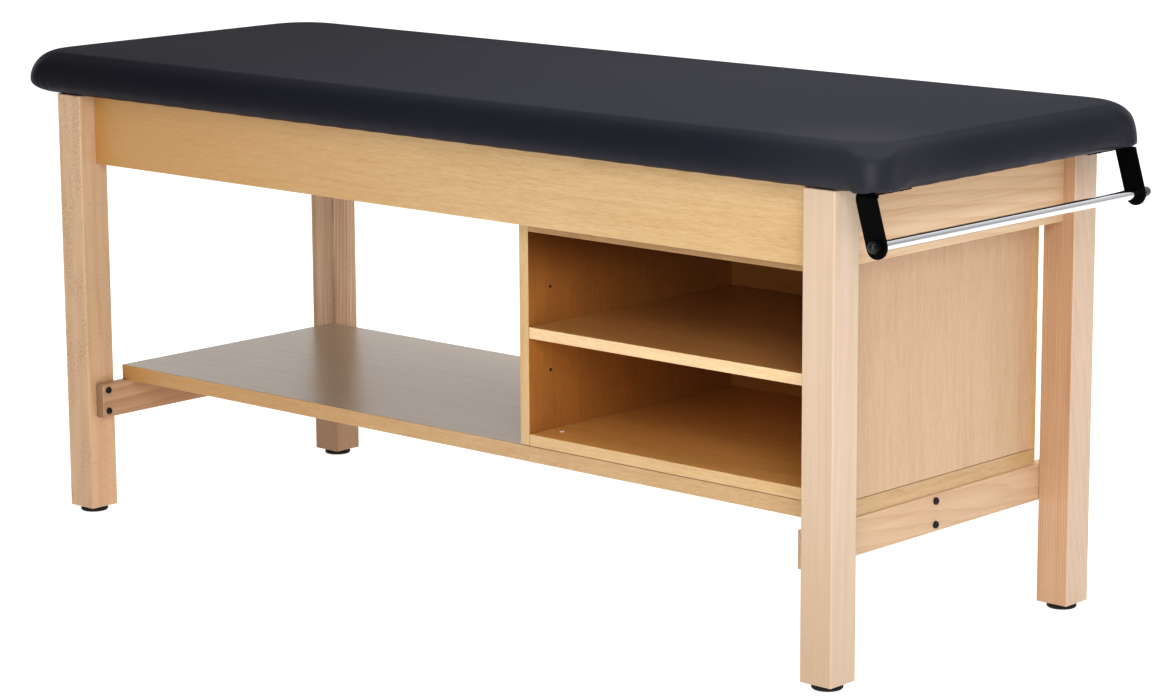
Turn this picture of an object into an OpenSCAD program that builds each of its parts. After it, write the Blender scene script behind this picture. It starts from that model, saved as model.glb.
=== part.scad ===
// Treatment table: an upholstered top on a beech frame, with a lower shelf,
// an open cabinet with a loose shelf, and a paper roll holder at one end.
// Millimetres, +Z up. The front, where the cabinet opens, faces -Y.

/* [Padded top] */
// Length of the upholstered top
top_length = 1829; // [1750:1:1960]
// Width of the upholstered top
top_width = 660; // [610:1:760]
// Thickness of the plywood board inside the top
board_t = 18; // [15:1:22]
// Thickness of the foam above the board
foam_t = 48; // [38:1:75]
// Thickness of the vinyl cover
cover_t = 1.2; // [0.8:0.1:1.6]
// Height of the middle of the top above its edges
crown = 3; // [0.5:0.5:8]
// How far the rounded top edge reaches in from the side
edge_reach = 25; // [18:1:40]
// How far the tucked bottom edge reaches in from the side
tuck_reach = 19; // [14:1:22]
// Corner radius in plan where the top is widest
corner_r = 38; // [30:1:55]
// Corner radius in plan of the flat top and bottom faces
face_corner_r = 88; // [70:1:105]
// Width of the strip of cover stapled under the board
return_w = 40; // [25:1:55]
// How far the board stops short of the cover's widest line
board_inset = 24; // [23:0.5:30]
// Corner radius in plan of the board
board_corner_r = 66; // [50:1:80]

/* [Frame] */
// Length of a leg without its foot
leg_length = 712; // [660:1:780]
// Side of the square leg
leg_w = 57; // [52:1:62]
// Radius of the long edges of a leg
leg_edge_r = 3; // [3:0.5:9]
// Overhang of the top past the legs at each end
end_overhang = 80.5; // [60:0.5:100]
// Overhang of the top past the legs along each side
side_overhang = 12; // [8:0.5:24]
// Height of the long aprons
apron_h = 118; // [100:1:130]
// Thickness of the long aprons
apron_t = 19; // [17:0.5:22]
// Setback of a long apron from the outer face of the legs
apron_setback = 33; // [24:0.5:34]
// Height of the end aprons
end_apron_h = 116; // [100:1:130]
// Thickness of the end aprons
end_apron_t = 22; // [18:0.5:25]
// Setback of an end apron from the outer face of the legs
end_apron_setback = 21; // [14:0.5:24]
// Radius that eases the edges of the solid wood parts
wood_edge_r = 2; // [1:0.5:4]
// Thickness of the diagonal corner blocks
block_t = 22; // [18:1:28]
// Distance from the apron corner to the outer ends of a block
block_reach = 42; // [36:1:60]
// Height of the diagonal corner blocks
block_h = 90; // [70:1:96]
// Width of the two bearers under the board
bearer_w = 45; // [35:1:60]
// Depth of the two bearers under the board
bearer_h = 30; // [22:1:40]
// Distance of each bearer from the middle of the table
bearer_x = 270; // [200:5:350]

/* [Rails and lower shelf] */
// Height of the cross rails and of the long stretcher
rail_h = 58; // [52:1:75]
// Thickness of the cross rails
rail_t = 18; // [16:0.5:25]
// Height of the underside of the rails above the bottom of the legs
rail_rise = 159.5; // [100:0.5:220]
// Setback of the rail ends from the outer face of the legs
rail_setback = 16; // [8:0.5:22]
// Thickness of the long stretcher
stretcher_t = 22; // [20:0.5:30]
// Thickness of the lower shelf
shelf_t = 25; // [19:0.5:30]
// Gap between the shelf ends and the line of the legs
shelf_end_gap = 2; // [1:0.5:8]
// Setback of the shelf's front edge from the front of the legs
shelf_front_setback = 74; // [60:1:100]
// Setback of the shelf's rear edge from the back of the legs
shelf_rear_setback = 64; // [58:1:90]
// Radius that eases the edges of the laminated boards
board_edge_r = 0.8; // [0.4:0.1:1.5]

/* [Cabinet] */
// Width of the cabinet
cabinet_w = 610; // [450:1:700]
// Thickness of the cabinet's sides and bottom
panel_t = 19; // [16:0.5:22]
// Thickness of the cabinet's top
head_t = 17; // [15:0.5:22]
// Thickness of the cabinet's back
back_t = 16; // [12:0.5:19]
// Gap between the cabinet and the level of the aprons
cabinet_head_gap = 0.5; // [0.5:0.5:6]
// Thickness of the loose shelf
loose_shelf_t = 18; // [16:0.5:20]
// Gap between the loose shelf and each side of the cabinet
loose_shelf_gap = 0.8; // [0.5:0.1:1.5]
// Height of the middle row of pin holes above the cabinet's foot
pin_rise = 177.5; // [150:0.5:200]
// Spacing of the three rows of pin holes
pin_pitch = 65; // [40:1:90]
// Distance of the front pin holes from the cabinet's front
pin_setback = 49; // [30:1:80]
// Diameter of the shelf pins
pin_d = 5; // [4:0.5:7]
// Length of a shelf pin inside the panel
pin_seat = 11; // [8:0.5:13]
// Length of a shelf pin that stands out of the panel
pin_proud = 7.5; // [5:0.5:9]

/* [Paper roll holder] */
// Width of the steel straps
strap_w = 35; // [30:1:44]
// Thickness of the steel straps
strap_t = 3.5; // [3:0.5:4.5]
// Distance from the middle of a strap to the end of the top
strap_inset = 28; // [24:0.5:32]
// Distance from the middle of a strap to the side of the top
strap_side_inset = 15.5; // [14:0.1:24]
// Straight drop of a strap between its bend and its kink
strap_drop = 0.4; // [0.4:0.2:10]
// Length of the leaning part of a strap, to the rod
strap_arm = 65.5; // [50:0.5:90]
// Lean of that part away from the legs, in degrees
strap_lean = 16.5; // [8:0.1:24]
// Length of the flange under the board
flange_l = 100; // [90:1:130]
// Width of the flange, from the edge of the strap that is nearer the legs
flange_w = 20; // [14:1:28]
// Outer radius of the bend between strap and flange
flange_bend_r = 5; // [5:0.5:9]
// Diameter of the rod that carries the roll
rod_d = 15.9; // [12:0.1:18]
// Diameter of the turned ends of the rod
rod_end_d = 8; // [6:0.5:9]
// Width across the flats of the cap nut
cap_flats = 17; // [14:0.5:22]
// Height of the cap nut
cap_h = 15; // [12:0.5:18]
// Largest diameter of the tapered knob
knob_d = 24; // [18:0.5:30]
// Length of the tapered knob
knob_l = 33; // [26:0.5:38]

/* [Feet] */
// Height of a levelling foot with its stem screwed in
foot_h = 9; // [7:0.5:14]
// Diameter of a levelling foot at the floor
foot_d = 46; // [36:1:50]
// Diameter of a levelling foot under the leg
foot_top_d = 41; // [30:1:46]
// Diameter of the foot's threaded stem
stem_d = 8; // [6:0.5:10]
// Length of the foot's stem inside the leg
stem_l = 34; // [28:1:45]

/* [Hardware] */
// Diameter of the frame bolts
bolt_d = 6; // [5:0.5:7]
// Diameter of the frame bolts' heads
bolt_head_d = 11; // [9:0.5:13]
// Height of the frame bolts' heads
bolt_head_h = 3.6; // [3:0.1:5]
// Spacing of the two bolts in each rail joint
bolt_spacing = 36; // [26:1:38]
// Length of a frame bolt's thread past the rail
bolt_grip = 26; // [22:1:30]
// Length of a stretcher bolt past the rail
stretcher_bolt_grip = 48; // [40:1:60]
// Diameter of the barrel nuts
barrel_d = 10; // [9:0.5:12]
// Diameter of the dowels
dowel_d = 10; // [8:0.5:10]
// Length of the dowels
dowel_l = 40; // [30:1:40]
// Diameter of the screws
screw_d = 4.2; // [3.5:0.1:5]

/* [Hidden] */
$fn = 48;

// Clearances
fit_gap = 0.3;          // soft layers and parts that move past each other
seat_gap = 0.05;        // a bolt, dowel or insert in its hole
running_gap = 0.08;     // the rod's ends and the foot stems in their bores
pocket_gap = 1;         // the board in the foam's pocket
back_gap = 1;           // the loose shelf and the cabinet's back
thread_room = 0.5;      // a bolt or stem and the leg's wood past its sleeve
hole_extra = 6;         // depth of a blind hole past the tip of its bolt
hole_room = 2;          // depth of a blind hole past the tip of its screw
dowel_room = 1;         // depth of a hole past the end of its dowel or pin
end_room = 0.5;         // depth of a bore past the rod's end
cut_over = 1;           // how far a cutting bar starts outside the surface

// Heights
leg_bottom = foot_h;
top_z = leg_bottom + leg_length;
rail_z = leg_bottom + rail_rise;
shelf_z = rail_z + rail_h;
cabinet_z = shelf_z + shelf_t;
cabinet_h = top_z - apron_h - cabinet_head_gap - cabinet_z;
board_z = top_z + cover_t + fit_gap;
pad_h = cover_t + fit_gap + board_t + foam_t + fit_gap + cover_t;

// Plan sizes, from the middle of the legs
pad_x = top_length / 2;
pad_y = top_width / 2;
leg_x = pad_x - end_overhang;
leg_y = pad_y - side_overhang;
bay_x = leg_x - leg_w;
bay_y = leg_y - leg_w;
apron_y = leg_y - apron_setback;
end_apron_x = leg_x - end_apron_setback;
rail_y = leg_y - rail_setback;
shelf_x = bay_x - shelf_end_gap;
shelf_front = -leg_y + shelf_front_setback;
shelf_rear = leg_y - shelf_rear_setback;
cabinet_left = shelf_x - cabinet_w;
cabinet_inside = cabinet_left + panel_t;
cabinet_inner_w = cabinet_w - 2 * panel_t;
back_y = shelf_rear - back_t;
panel_d = back_y - shelf_front;

// Paper roll holder
strap_x = pad_x - strap_inset;
strap_y = pad_y - strap_side_inset;
kink_rise = strap_w / 2 * tan(strap_lean / 2);
strap_kink = flange_bend_r + strap_drop + kink_rise;
rod_x = strap_x + strap_arm * sin(strap_lean);
rod_z = top_z - strap_kink - strap_arm * cos(strap_lean);
strap_outer = strap_y + strap_t / 2;
strap_inner = strap_y - strap_t / 2;

// The frame's origin is under the middle of the whole table
max_x = max(pad_x, rod_x + strap_w / 2);
max_y = max(pad_y, strap_outer + fit_gap + knob_l);
min_y = -max(pad_y, strap_outer + fit_gap + cap_h);
origin_x = (max_x - pad_x) / 2;
origin_y = (max_y + min_y) / 2;

// Upholstery sampling
corner_steps = 6;
tuck_angles = [0, 30, 60];
edge_angles = [0:15:90];
crown_shares = [0.06, 0.2, 0.42, 0.7];

// Small hardware sizes
socket_share = 0.42;
insert_wall = 1.6;
insert_l = 16;
screw_head_d = 2 * screw_d;
screw_head_h = 0.6 * screw_d;
pan_share = 1.03;
recess_share = 0.6;
cap_screw_in = 26;
cap_screw_setback = 45;
cap_screw_head_d = 6.4;
cap_sink = 5;
cap_plug_d = 6.8;
cap_plug_l = 2;
cap_dome_d = 7.8;
cap_dome_h = 1;
arris_r = 0.5;

beech = [0.87, 0.72, 0.55];
laminate = [0.83, 0.65, 0.42];
vinyl = [0.13, 0.13, 0.16];
black = [0.08, 0.08, 0.09];
steel = [0.75, 0.75, 0.77];

// Moves a piece from the middle of the legs to the part's own origin
module in_frame() {
    translate([-origin_x, -origin_y, 0]) children();
}

// A rectangle from its lowest corner with rounded corners
module round_rect(w, d, r) {
    translate([r, 0]) square([w - 2 * r, d]);
    translate([0, r]) square([w, d - 2 * r]);
    for (x = [r, w - r], y = [r, d - r]) {
        translate([x, y]) circle(r);
    }
}

// A board from its lowest corner: r_plan rounds the edges along Z, r_end the others
module eased_board(size, r_plan, r_end) {
    intersection() {
        linear_extrude(size.z) round_rect(size.x, size.y, r_plan);
        translate([0, size.y, 0])
            rotate([90, 0, 0]) linear_extrude(size.y) round_rect(size.x, size.z, r_end);
        rotate([90, 0, 90]) linear_extrude(size.x) round_rect(size.y, size.z, r_end);
    }
}

// A round bar along X, Y or Z that starts at the origin; dir gives its direction
module bar(dir, d, l) {
    turn = dir.z != 0 ? (dir.z > 0 ? [0, 0, 0] : [180, 0, 0])
        : dir.x != 0 ? [0, dir.x > 0 ? 90 : -90, 0]
        : [dir.y > 0 ? -90 : 90, 0, 0];
    rotate(turn) cylinder(d = d, h = l);
}

// Corner positions of the legs
module at_legs() {
    for (sx = [-1, 1], sy = [-1, 1]) {
        translate([sx * leg_x, sy * leg_y, 0]) mirror([sx < 0 ? 1 : 0, 0, 0])
            mirror([0, sy < 0 ? 1 : 0, 0]) children();
    }
}

// Upholstery. One ring of the pad: a rectangle with rounded corners, as points.
function pad_ring(inset, z, r) = [
    for (c = [0:3]) for (i = [0:corner_steps])
        let (a = 90 * (c + i / corner_steps),
            sx = c == 0 || c == 3 ? 1 : -1,
            sy = c < 2 ? 1 : -1)
        [sx * (pad_x - inset - r) + r * cos(a), sy * (pad_y - inset - r) + r * sin(a), z]
];

// The corner radius grows from the widest line towards the faces
function plan_r(share) = corner_r + (face_corner_r - corner_r) * share;

// The tucked lower edge, d inside the outer skin
function tuck_rings(d) = [
    for (a = tuck_angles)
        pad_ring(tuck_reach - (tuck_reach - d) * sin(a),
            tuck_reach - (tuck_reach - d) * cos(a),
            plan_r(1 - sin(a)) - d * sin(a))
];

// The side and rounded top edge, a quarter of an ellipse
function edge_rings(d) = [
    for (a = edge_angles)
        pad_ring(edge_reach - (edge_reach - d) * cos(a),
            tuck_reach + (pad_h - tuck_reach - d) * sin(a),
            plan_r(1 - cos(a)) - d * cos(a))
];

// The crowned top: the rise slows down towards the middle
function crown_rings(d) = [
    for (s = crown_shares)
        let (inset = edge_reach + s * (pad_y - edge_reach))
        pad_ring(inset, pad_h - d + crown * (1 - (1 - s) * (1 - s)),
            max(4, face_corner_r * (1 - s) * (1 - s)))
];

// A closed skin through a stack of rings, with a flat cap on the first and the last
module ring_stack(rings) {
    n = len(rings[0]);
    m = len(rings);
    points = [for (ring = rings) each ring];
    walls = [
        for (k = [0:m - 2]) for (i = [0:n - 1])
            let (a = k * n + i, b = k * n + (i + 1) % n, c = a + n, d = b + n)
            each [[a, c, b], [b, c, d]]
    ];
    first_cap = [for (i = [1:n - 2]) [0, i, i + 1]];
    last_cap = [for (i = [1:n - 2]) [(m - 1) * n, (m - 1) * n + i + 1, (m - 1) * n + i]];
    polyhedron(points, concat(first_cap, walls, last_cap));
}

// The same list from its last entry to its first
function reversed(list) = [for (i = [len(list) - 1:-1:0]) list[i]];

// The vinyl skin: down the outside, under the board's edge and back up the inside
module top_cover() {
    outer = concat(tuck_rings(0), edge_rings(0), crown_rings(0));
    inner = concat(tuck_rings(cover_t), edge_rings(cover_t), crown_rings(cover_t));
    hem = tuck_reach + return_w;
    hem_r = plan_r(1) - return_w / 2;
    color(vinyl) in_frame() translate([0, 0, top_z])
        ring_stack(concat(reversed(outer), [pad_ring(hem, 0, hem_r)],
            [pad_ring(hem, cover_t, hem_r)], inner));
}

// The foam block with the pocket that holds the board
module top_foam() {
    d = cover_t + fit_gap;
    pocket = board_inset - pocket_gap;
    pocket_r = board_corner_r + pocket_gap;
    color([0.93, 0.9, 0.78]) in_frame() translate([0, 0, top_z])
        ring_stack(concat([pad_ring(pocket, d + board_t, pocket_r)],
            [pad_ring(pocket, d, pocket_r)],
            tuck_rings(d), edge_rings(d), crown_rings(d)));
}

// The plywood board, drilled for the bearer and bracket screws
module top_board() {
    size = [2 * (pad_x - board_inset), 2 * (pad_y - board_inset)];
    color([0.8, 0.68, 0.5]) in_frame() difference() {
        translate([-size.x / 2, -size.y / 2, board_z])
            linear_extrude(board_t) round_rect(size.x, size.y, board_corner_r);
        at_top_screws()
            bar([0, 0, 1], screw_d + 2 * seat_gap, bearer_h + board_screw_l + hole_room);
        at_bracket_screws()
            bar([0, 0, 1], screw_d + 2 * seat_gap, bracket_screw_l + hole_room);
    }
}

// Length of a screw inside the board, and of a whole bracket screw
board_screw_l = 12;
bracket_screw_l = strap_t + cover_t + fit_gap + board_screw_l;

// Screws up through the bearers into the board, by their share of the way to the apron
top_screw_shares = [-0.6, 0, 0.6];

module at_top_screws() {
    for (x = [-bearer_x, bearer_x], y = top_screw_shares) {
        translate([x, y * (apron_y - apron_t), board_z - bearer_h]) children();
    }
}

module top_bearers() {
    l = 2 * (apron_y - apron_t);
    color(beech) in_frame() difference() {
        for (x = [-bearer_x, bearer_x]) {
            translate([x - bearer_w / 2, -l / 2, board_z - bearer_h])
                eased_board([bearer_w, l, bearer_h], arris_r, wood_edge_r);
        }
        at_top_screws() bar([0, 0, 1], screw_d + 2 * seat_gap, bearer_h);
    }
}

// A pan-head screw that points up, its head below the origin
module screw_up(l) {
    bar([0, 0, 1], screw_d, l);
    difference() {
        translate([0, 0, -screw_head_h]) intersection() {
            cylinder(d = screw_head_d, h = screw_head_h);
            translate([0, 0, screw_head_d]) sphere(r = screw_head_d * pan_share);
        }
        translate([0, 0, -screw_head_h])
            cylinder(d = screw_d * recess_share, h = screw_head_h / 2);
    }
}

module top_screws() {
    color(steel) in_frame() at_top_screws() screw_up(bearer_h + board_screw_l);
}

// Legs. Each is drawn at the front left and mirrored to its own corner;
// the local frame starts at the outer corner and runs inwards along -X and -Y.
module leg_blank() {
    translate([-leg_w, -leg_w, leg_bottom])
        eased_board([leg_w, leg_w, leg_length], leg_edge_r, wood_edge_r);
}

// Dowel heights, staggered so that the two aprons' dowels miss each other
apron_dowel_in = 22;
end_dowel_drops = [44, 76];
apron_dowel_z = [top_z - apron_h + apron_dowel_in, top_z - apron_dowel_in];
end_dowel_z = [for (drop = end_dowel_drops) top_z - drop];

// Positions of the dowels in one leg, at the face where they cross
module at_leg_dowels() {
    for (z = apron_dowel_z) translate([-leg_w, -apron_setback - apron_t / 2, z]) children();
    for (z = end_dowel_z) translate([-end_apron_setback - end_apron_t / 2, -leg_w, z])
        rotate([0, 0, 90]) children();
}

// Bolts of the rail joints, and the bolt through each corner block into its leg
bolt_heights = [rail_z + (rail_h - bolt_spacing) / 2, rail_z + (rail_h + bolt_spacing) / 2];
leg_bolt_y = leg_w / 2;
corner_bolt_drop = 60;
corner_bolt_z = top_z - corner_bolt_drop;
corner_bolt_d = 8;
corner_bolt_seat = 34;
corner_bolt_end = 12;
washer_d = 22;
washer_t = 2;
nut_d = 15;
nut_h = 6.5;

// One leg with its bolt, dowel, foot and corner bolt holes, in the leg's own corner frame
module leg() {
    difference() {
        leg_blank();
        at_leg_dowels() bar([1, 0, 0], dowel_d + 2 * seat_gap, dowel_l / 2 + dowel_room);
        for (z = bolt_heights) translate([-leg_w, -leg_bolt_y, z]) {
            bar([1, 0, 0], bolt_d + 2 * insert_wall, insert_l);
            bar([1, 0, 0], bolt_d + 2 * thread_room, bolt_grip + hole_extra);
        }
        translate([-leg_w, -leg_w, corner_bolt_z]) rotate([0, 0, 45])
            translate([-cut_over, 0, 0])
                bar([1, 0, 0], corner_bolt_d + 2 * seat_gap, corner_bolt_seat + hole_room + cut_over);
        translate([-leg_w / 2, -leg_w / 2, leg_bottom]) {
            bar([0, 0, 1], stem_d + 2 * insert_wall + 2 * seat_gap, insert_l);
            bar([0, 0, 1], stem_d + 2 * thread_room, stem_l + hole_extra);
        }
    }
}

module leg_at(sx, sy) {
    color(beech) in_frame() translate([sx * leg_x, sy * leg_y, 0])
        mirror([sx < 0 ? 1 : 0, 0, 0]) mirror([0, sy < 0 ? 1 : 0, 0]) leg();
}

module leg_front_left() { leg_at(-1, -1); }
module leg_front_right() { leg_at(1, -1); }
module leg_rear_left() { leg_at(-1, 1); }
module leg_rear_right() { leg_at(1, 1); }

// Aprons
module long_apron() {
    difference() {
        translate([-bay_x, -apron_t, top_z - apron_h])
            eased_board([2 * bay_x, apron_t, apron_h], arris_r, wood_edge_r / 2);
        for (sx = [-1, 1], z = apron_dowel_z) {
            translate([sx * bay_x, -apron_t / 2, z])
                bar([-sx, 0, 0], dowel_d + 2 * seat_gap, dowel_l / 2 + dowel_room);
        }
    }
}

module apron_front() {
    color(laminate) in_frame() translate([0, -apron_y, 0]) mirror([0, 1, 0]) long_apron();
}

module apron_rear() {
    color(laminate) in_frame() translate([0, apron_y, 0]) long_apron();
}

module end_apron() {
    difference() {
        translate([-end_apron_t, -bay_y, top_z - end_apron_h])
            eased_board([end_apron_t, 2 * bay_y, end_apron_h], arris_r, wood_edge_r);
        for (sy = [-1, 1], z = end_dowel_z) {
            translate([-end_apron_t / 2, sy * bay_y, z])
                bar([0, -sy, 0], dowel_d + 2 * seat_gap, dowel_l / 2 + dowel_room);
        }
    }
}

module apron_left() {
    color(beech) in_frame() translate([-end_apron_x, 0, 0]) mirror([1, 0, 0]) end_apron();
}

module apron_right() {
    color(beech) in_frame() translate([end_apron_x, 0, 0]) end_apron();
}

module apron_dowels() {
    color(beech) in_frame() at_legs() at_leg_dowels()
        translate([-dowel_l / 2, 0, 0]) bar([1, 0, 0], dowel_d, dowel_l);
}

// Corner blocks. The local frame starts where the inner faces of two aprons meet;
// u runs along the long apron and v along the end apron.
block_far = block_reach + block_t * sqrt(2);
leg_corner_u = leg_w - end_apron_setback - end_apron_t;
leg_corner_v = leg_w - apron_setback - apron_t;

module at_block_corner() {
    translate([-end_apron_setback - end_apron_t, -apron_setback - apron_t, corner_bolt_z])
        children();
}

// The corner bolt's line, from the leg's corner inwards
module at_corner_bolt() {
    at_block_corner() translate([-leg_corner_u, -leg_corner_v, 0]) rotate([0, 0, 45]) children();
}

// Distance along that line to the block's inner face
block_inner = (block_far - leg_corner_u - leg_corner_v) / sqrt(2);

module corner_blocks() {
    color(beech) in_frame() at_legs() difference() {
        at_block_corner() translate([0, 0, -block_h / 2]) linear_extrude(block_h)
            polygon([[-block_reach, 0], [-block_far, 0], [0, -block_far], [0, -block_reach]]);
        at_corner_bolt() bar([-1, 0, 0], corner_bolt_d + 2 * seat_gap, block_inner + cut_over);
    }
}

module corner_bolts() {
    color(steel) in_frame() at_legs() at_corner_bolt() {
        translate([corner_bolt_seat, 0, 0])
            bar([-1, 0, 0], corner_bolt_d, corner_bolt_seat + block_inner + corner_bolt_end);
        translate([-block_inner, 0, 0]) bar([-1, 0, 0], washer_d, washer_t);
        translate([-block_inner - washer_t, 0, 0]) rotate([0, -90, 0])
            cylinder(d = nut_d, h = nut_h, $fn = 6);
    }
}

// Rails and stretcher
module cross_rail(sx) {
    color(beech) in_frame() mirror([sx < 0 ? 1 : 0, 0, 0]) difference() {
        translate([bay_x - rail_t, -rail_y, rail_z])
            eased_board([rail_t, 2 * rail_y, rail_h], wood_edge_r, wood_edge_r);
        for (z = bolt_heights, y = [-leg_y + leg_bolt_y, 0, leg_y - leg_bolt_y]) {
            translate([bay_x - rail_t, y, z]) bar([1, 0, 0], bolt_d + 2 * seat_gap, rail_t);
        }
        at_shelf_screws() bar([0, 0, 1], screw_d + 2 * seat_gap, rail_h);
        at_shelf_screws() bar([0, 0, 1], screw_head_d + 2 * head_room, shelf_screw_sink);
    }
}

// Wood that a shelf screw crosses above the pocket of its head, and the screw's length
rail_web = 22;
shelf_screw_sink = rail_h - rail_web;
shelf_screw_l = 36;
shelf_screw_share = 0.55;
head_room = 1;

// Screws up through the right rail into the shelf
module at_shelf_screws() {
    for (side = [-1, 1]) {
        translate([bay_x - rail_t / 2, side * shelf_screw_share * rail_y, rail_z]) children();
    }
}

module cross_rail_left() { cross_rail(-1); }
module cross_rail_right() { cross_rail(1); }

module center_stretcher() {
    l = 2 * (bay_x - rail_t);
    color(beech) in_frame() difference() {
        translate([-l / 2, -stretcher_t / 2, rail_z])
            eased_board([l, stretcher_t, rail_h], arris_r, wood_edge_r);
        for (sx = [-1, 1], z = bolt_heights) translate([sx * l / 2, 0, z]) {
            bar([-sx, 0, 0], bolt_d + 2 * seat_gap, stretcher_bolt_grip + hole_extra);
            translate([-sx * barrel_in, -stretcher_t / 2, 0])
                bar([0, 1, 0], barrel_d + 2 * seat_gap, stretcher_t);
        }
    }
}

// Distance of a barrel nut from the end of the stretcher, and of its faces from the sides
barrel_in = stretcher_bolt_grip - barrel_d;
barrel_sink = 1;

// A button-head bolt along +X with a hexagon socket, its head before the origin
module frame_bolt(l) {
    bar([1, 0, 0], bolt_d, l);
    difference() {
        translate([-bolt_head_h, 0, 0]) rotate([0, 90, 0]) rotate_extrude() bolt_head_profile();
        translate([-bolt_head_h, 0, 0]) rotate([0, 90, 0])
            cylinder(d = bolt_head_d * socket_share, h = bolt_head_h * 0.6, $fn = 6);
    }
}

// Half of a low domed head: flat on top, with a rounded shoulder
module bolt_head_profile() {
    r = bolt_head_h * 0.45;
    square([bolt_head_d / 2 - r, bolt_head_h]);
    translate([0, r]) square([bolt_head_d / 2, bolt_head_h - r]);
    translate([bolt_head_d / 2 - r, r]) circle(r);
}

// The two bolts that hold each rail end, in the corner frame of a leg
module at_leg_bolts() {
    at_legs() for (z = bolt_heights) translate([-leg_w, -leg_bolt_y, z]) children();
}

module rail_bolts() {
    color(black) in_frame() at_leg_bolts()
        translate([-rail_t, 0, 0]) frame_bolt(rail_t + bolt_grip);
}

// Threaded sleeves in the legs
module rail_inserts() {
    color([0.78, 0.62, 0.3]) in_frame() at_leg_bolts() difference() {
        bar([1, 0, 0], bolt_d + 2 * insert_wall - 2 * seat_gap, insert_l);
        bar([1, 0, 0], bolt_d + 2 * seat_gap, insert_l);
    }
}

// The two bolts at the middle of each rail, in the right rail's frame
module at_stretcher_bolts() {
    for (sx = [0, 1]) mirror([sx, 0, 0]) for (z = bolt_heights) {
        translate([bay_x, 0, z]) children();
    }
}

module stretcher_bolts() {
    color(black) in_frame() at_stretcher_bolts() mirror([1, 0, 0])
        frame_bolt(rail_t + stretcher_bolt_grip);
}

module barrel_nuts() {
    color(steel) in_frame() at_stretcher_bolts() translate([-rail_t - barrel_in, 0, 0])
        difference() {
            translate([0, barrel_sink - stretcher_t / 2, 0])
                bar([0, 1, 0], barrel_d, stretcher_t - 2 * barrel_sink);
            translate([barrel_d, 0, 0]) bar([-1, 0, 0], bolt_d + 2 * seat_gap, 2 * barrel_d);
        }
}

// Lower shelf
module lower_shelf() {
    color(laminate) in_frame() difference() {
        translate([-shelf_x, shelf_front, shelf_z])
            eased_board([2 * shelf_x, shelf_rear - shelf_front, shelf_t], board_edge_r, board_edge_r);
        for (sx = [0, 1]) mirror([sx, 0, 0]) at_shelf_screws()
            bar([0, 0, 1], screw_d + 2 * seat_gap, shelf_screw_sink + shelf_screw_l + hole_room);
        at_cabinet_screws() translate([0, 0, -panel_t - shelf_t / 2])
            bar([0, 0, 1], screw_d + 2 * seat_gap, shelf_t);
        at_rear_screws() bar([0, 0, 1], screw_d + 2 * seat_gap, rear_screw_l + hole_room);
    }
}

module shelf_screws() {
    color(steel) in_frame() for (sx = [0, 1]) mirror([sx, 0, 0]) at_shelf_screws()
        translate([0, 0, shelf_screw_sink]) screw_up(shelf_screw_l);
}

// Cabinet. pin_sites gives the pin holes of one side, as [y, z].
pin_y = [shelf_front + pin_setback, back_y - pin_setback];
pin_z = [for (k = [-1:1]) cabinet_z + pin_rise + k * pin_pitch];
cabinet_dowel_d = 8;
cabinet_dowel_l = 30;
cabinet_dowel_seat = 12;
cabinet_dowel_setback = 60;
cabinet_dowel_y = [shelf_front + cabinet_dowel_setback, back_y - cabinet_dowel_setback];
cabinet_dowel_z = [cabinet_z + panel_t / 2, cabinet_z + cabinet_h - head_t / 2];

// One side panel from its outer face at x = 0, with the cabinet towards +X
module side_panel() {
    difference() {
        translate([0, shelf_front, cabinet_z])
            eased_board([panel_t, panel_d, cabinet_h], board_edge_r, board_edge_r);
        for (y = pin_y, z = pin_z) {
            translate([panel_t, y, z]) bar([-1, 0, 0], pin_d + 2 * seat_gap, pin_seat + dowel_room);
        }
        for (y = cabinet_dowel_y, z = cabinet_dowel_z) {
            translate([panel_t, y, z])
                bar([-1, 0, 0], cabinet_dowel_d + 2 * seat_gap, cabinet_dowel_seat + dowel_room);
        }
    }
}

// Places a piece drawn for the left side of the cabinet at both sides
module at_cabinet_sides() {
    for (side = [0, 1]) translate([side == 0 ? cabinet_left : shelf_x, 0, 0])
        mirror([side, 0, 0]) children();
}

module cabinet_side_left() {
    color(laminate) in_frame() translate([cabinet_left, 0, 0]) side_panel();
}

module cabinet_side_right() {
    color(laminate) in_frame() translate([shelf_x, 0, 0]) mirror([1, 0, 0]) side_panel();
}

// The top or bottom between the sides, of thickness t from its underside at height z
module cross_panel(z, t) {
    difference() {
        translate([cabinet_inside, shelf_front, z])
            eased_board([cabinet_inner_w, panel_d, t], board_edge_r, board_edge_r);
        at_cabinet_sides() for (y = cabinet_dowel_y) {
            translate([panel_t, y, z + t / 2])
                bar([1, 0, 0], cabinet_dowel_d + 2 * seat_gap,
                    cabinet_dowel_l - cabinet_dowel_seat + dowel_room);
        }
    }
}

module cabinet_top() {
    color(laminate) in_frame() cross_panel(cabinet_z + cabinet_h - head_t, head_t);
}

module cabinet_bottom() {
    color(laminate) in_frame() difference() {
        cross_panel(cabinet_z, panel_t);
        at_cabinet_screws() {
            translate([0, 0, -panel_t]) bar([0, 0, 1], screw_d + 2 * seat_gap, panel_t);
            translate([0, 0, -cap_sink])
                bar([0, 0, 1], cap_plug_d + 2 * seat_gap, cap_sink + cut_over);
        }
        at_rear_screws() bar([0, 0, 1], screw_d + 2 * seat_gap, rear_screw_l + hole_room);
    }
}

module cabinet_back() {
    color(laminate) in_frame() difference() {
        translate([cabinet_left, back_y, cabinet_z])
            eased_board([cabinet_w, back_t, cabinet_h], board_edge_r, board_edge_r);
        at_back_screws() bar([0, -1, 0], screw_d + 2 * seat_gap, back_t);
        at_back_screws() bar([0, -1, 0], screw_head_d + 2 * seat_gap, screw_head_h);
    }
}

// Screws through the back into the edges of the sides, by their share of the height
back_screw_shares = [0.18, 0.5, 0.82];

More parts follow.
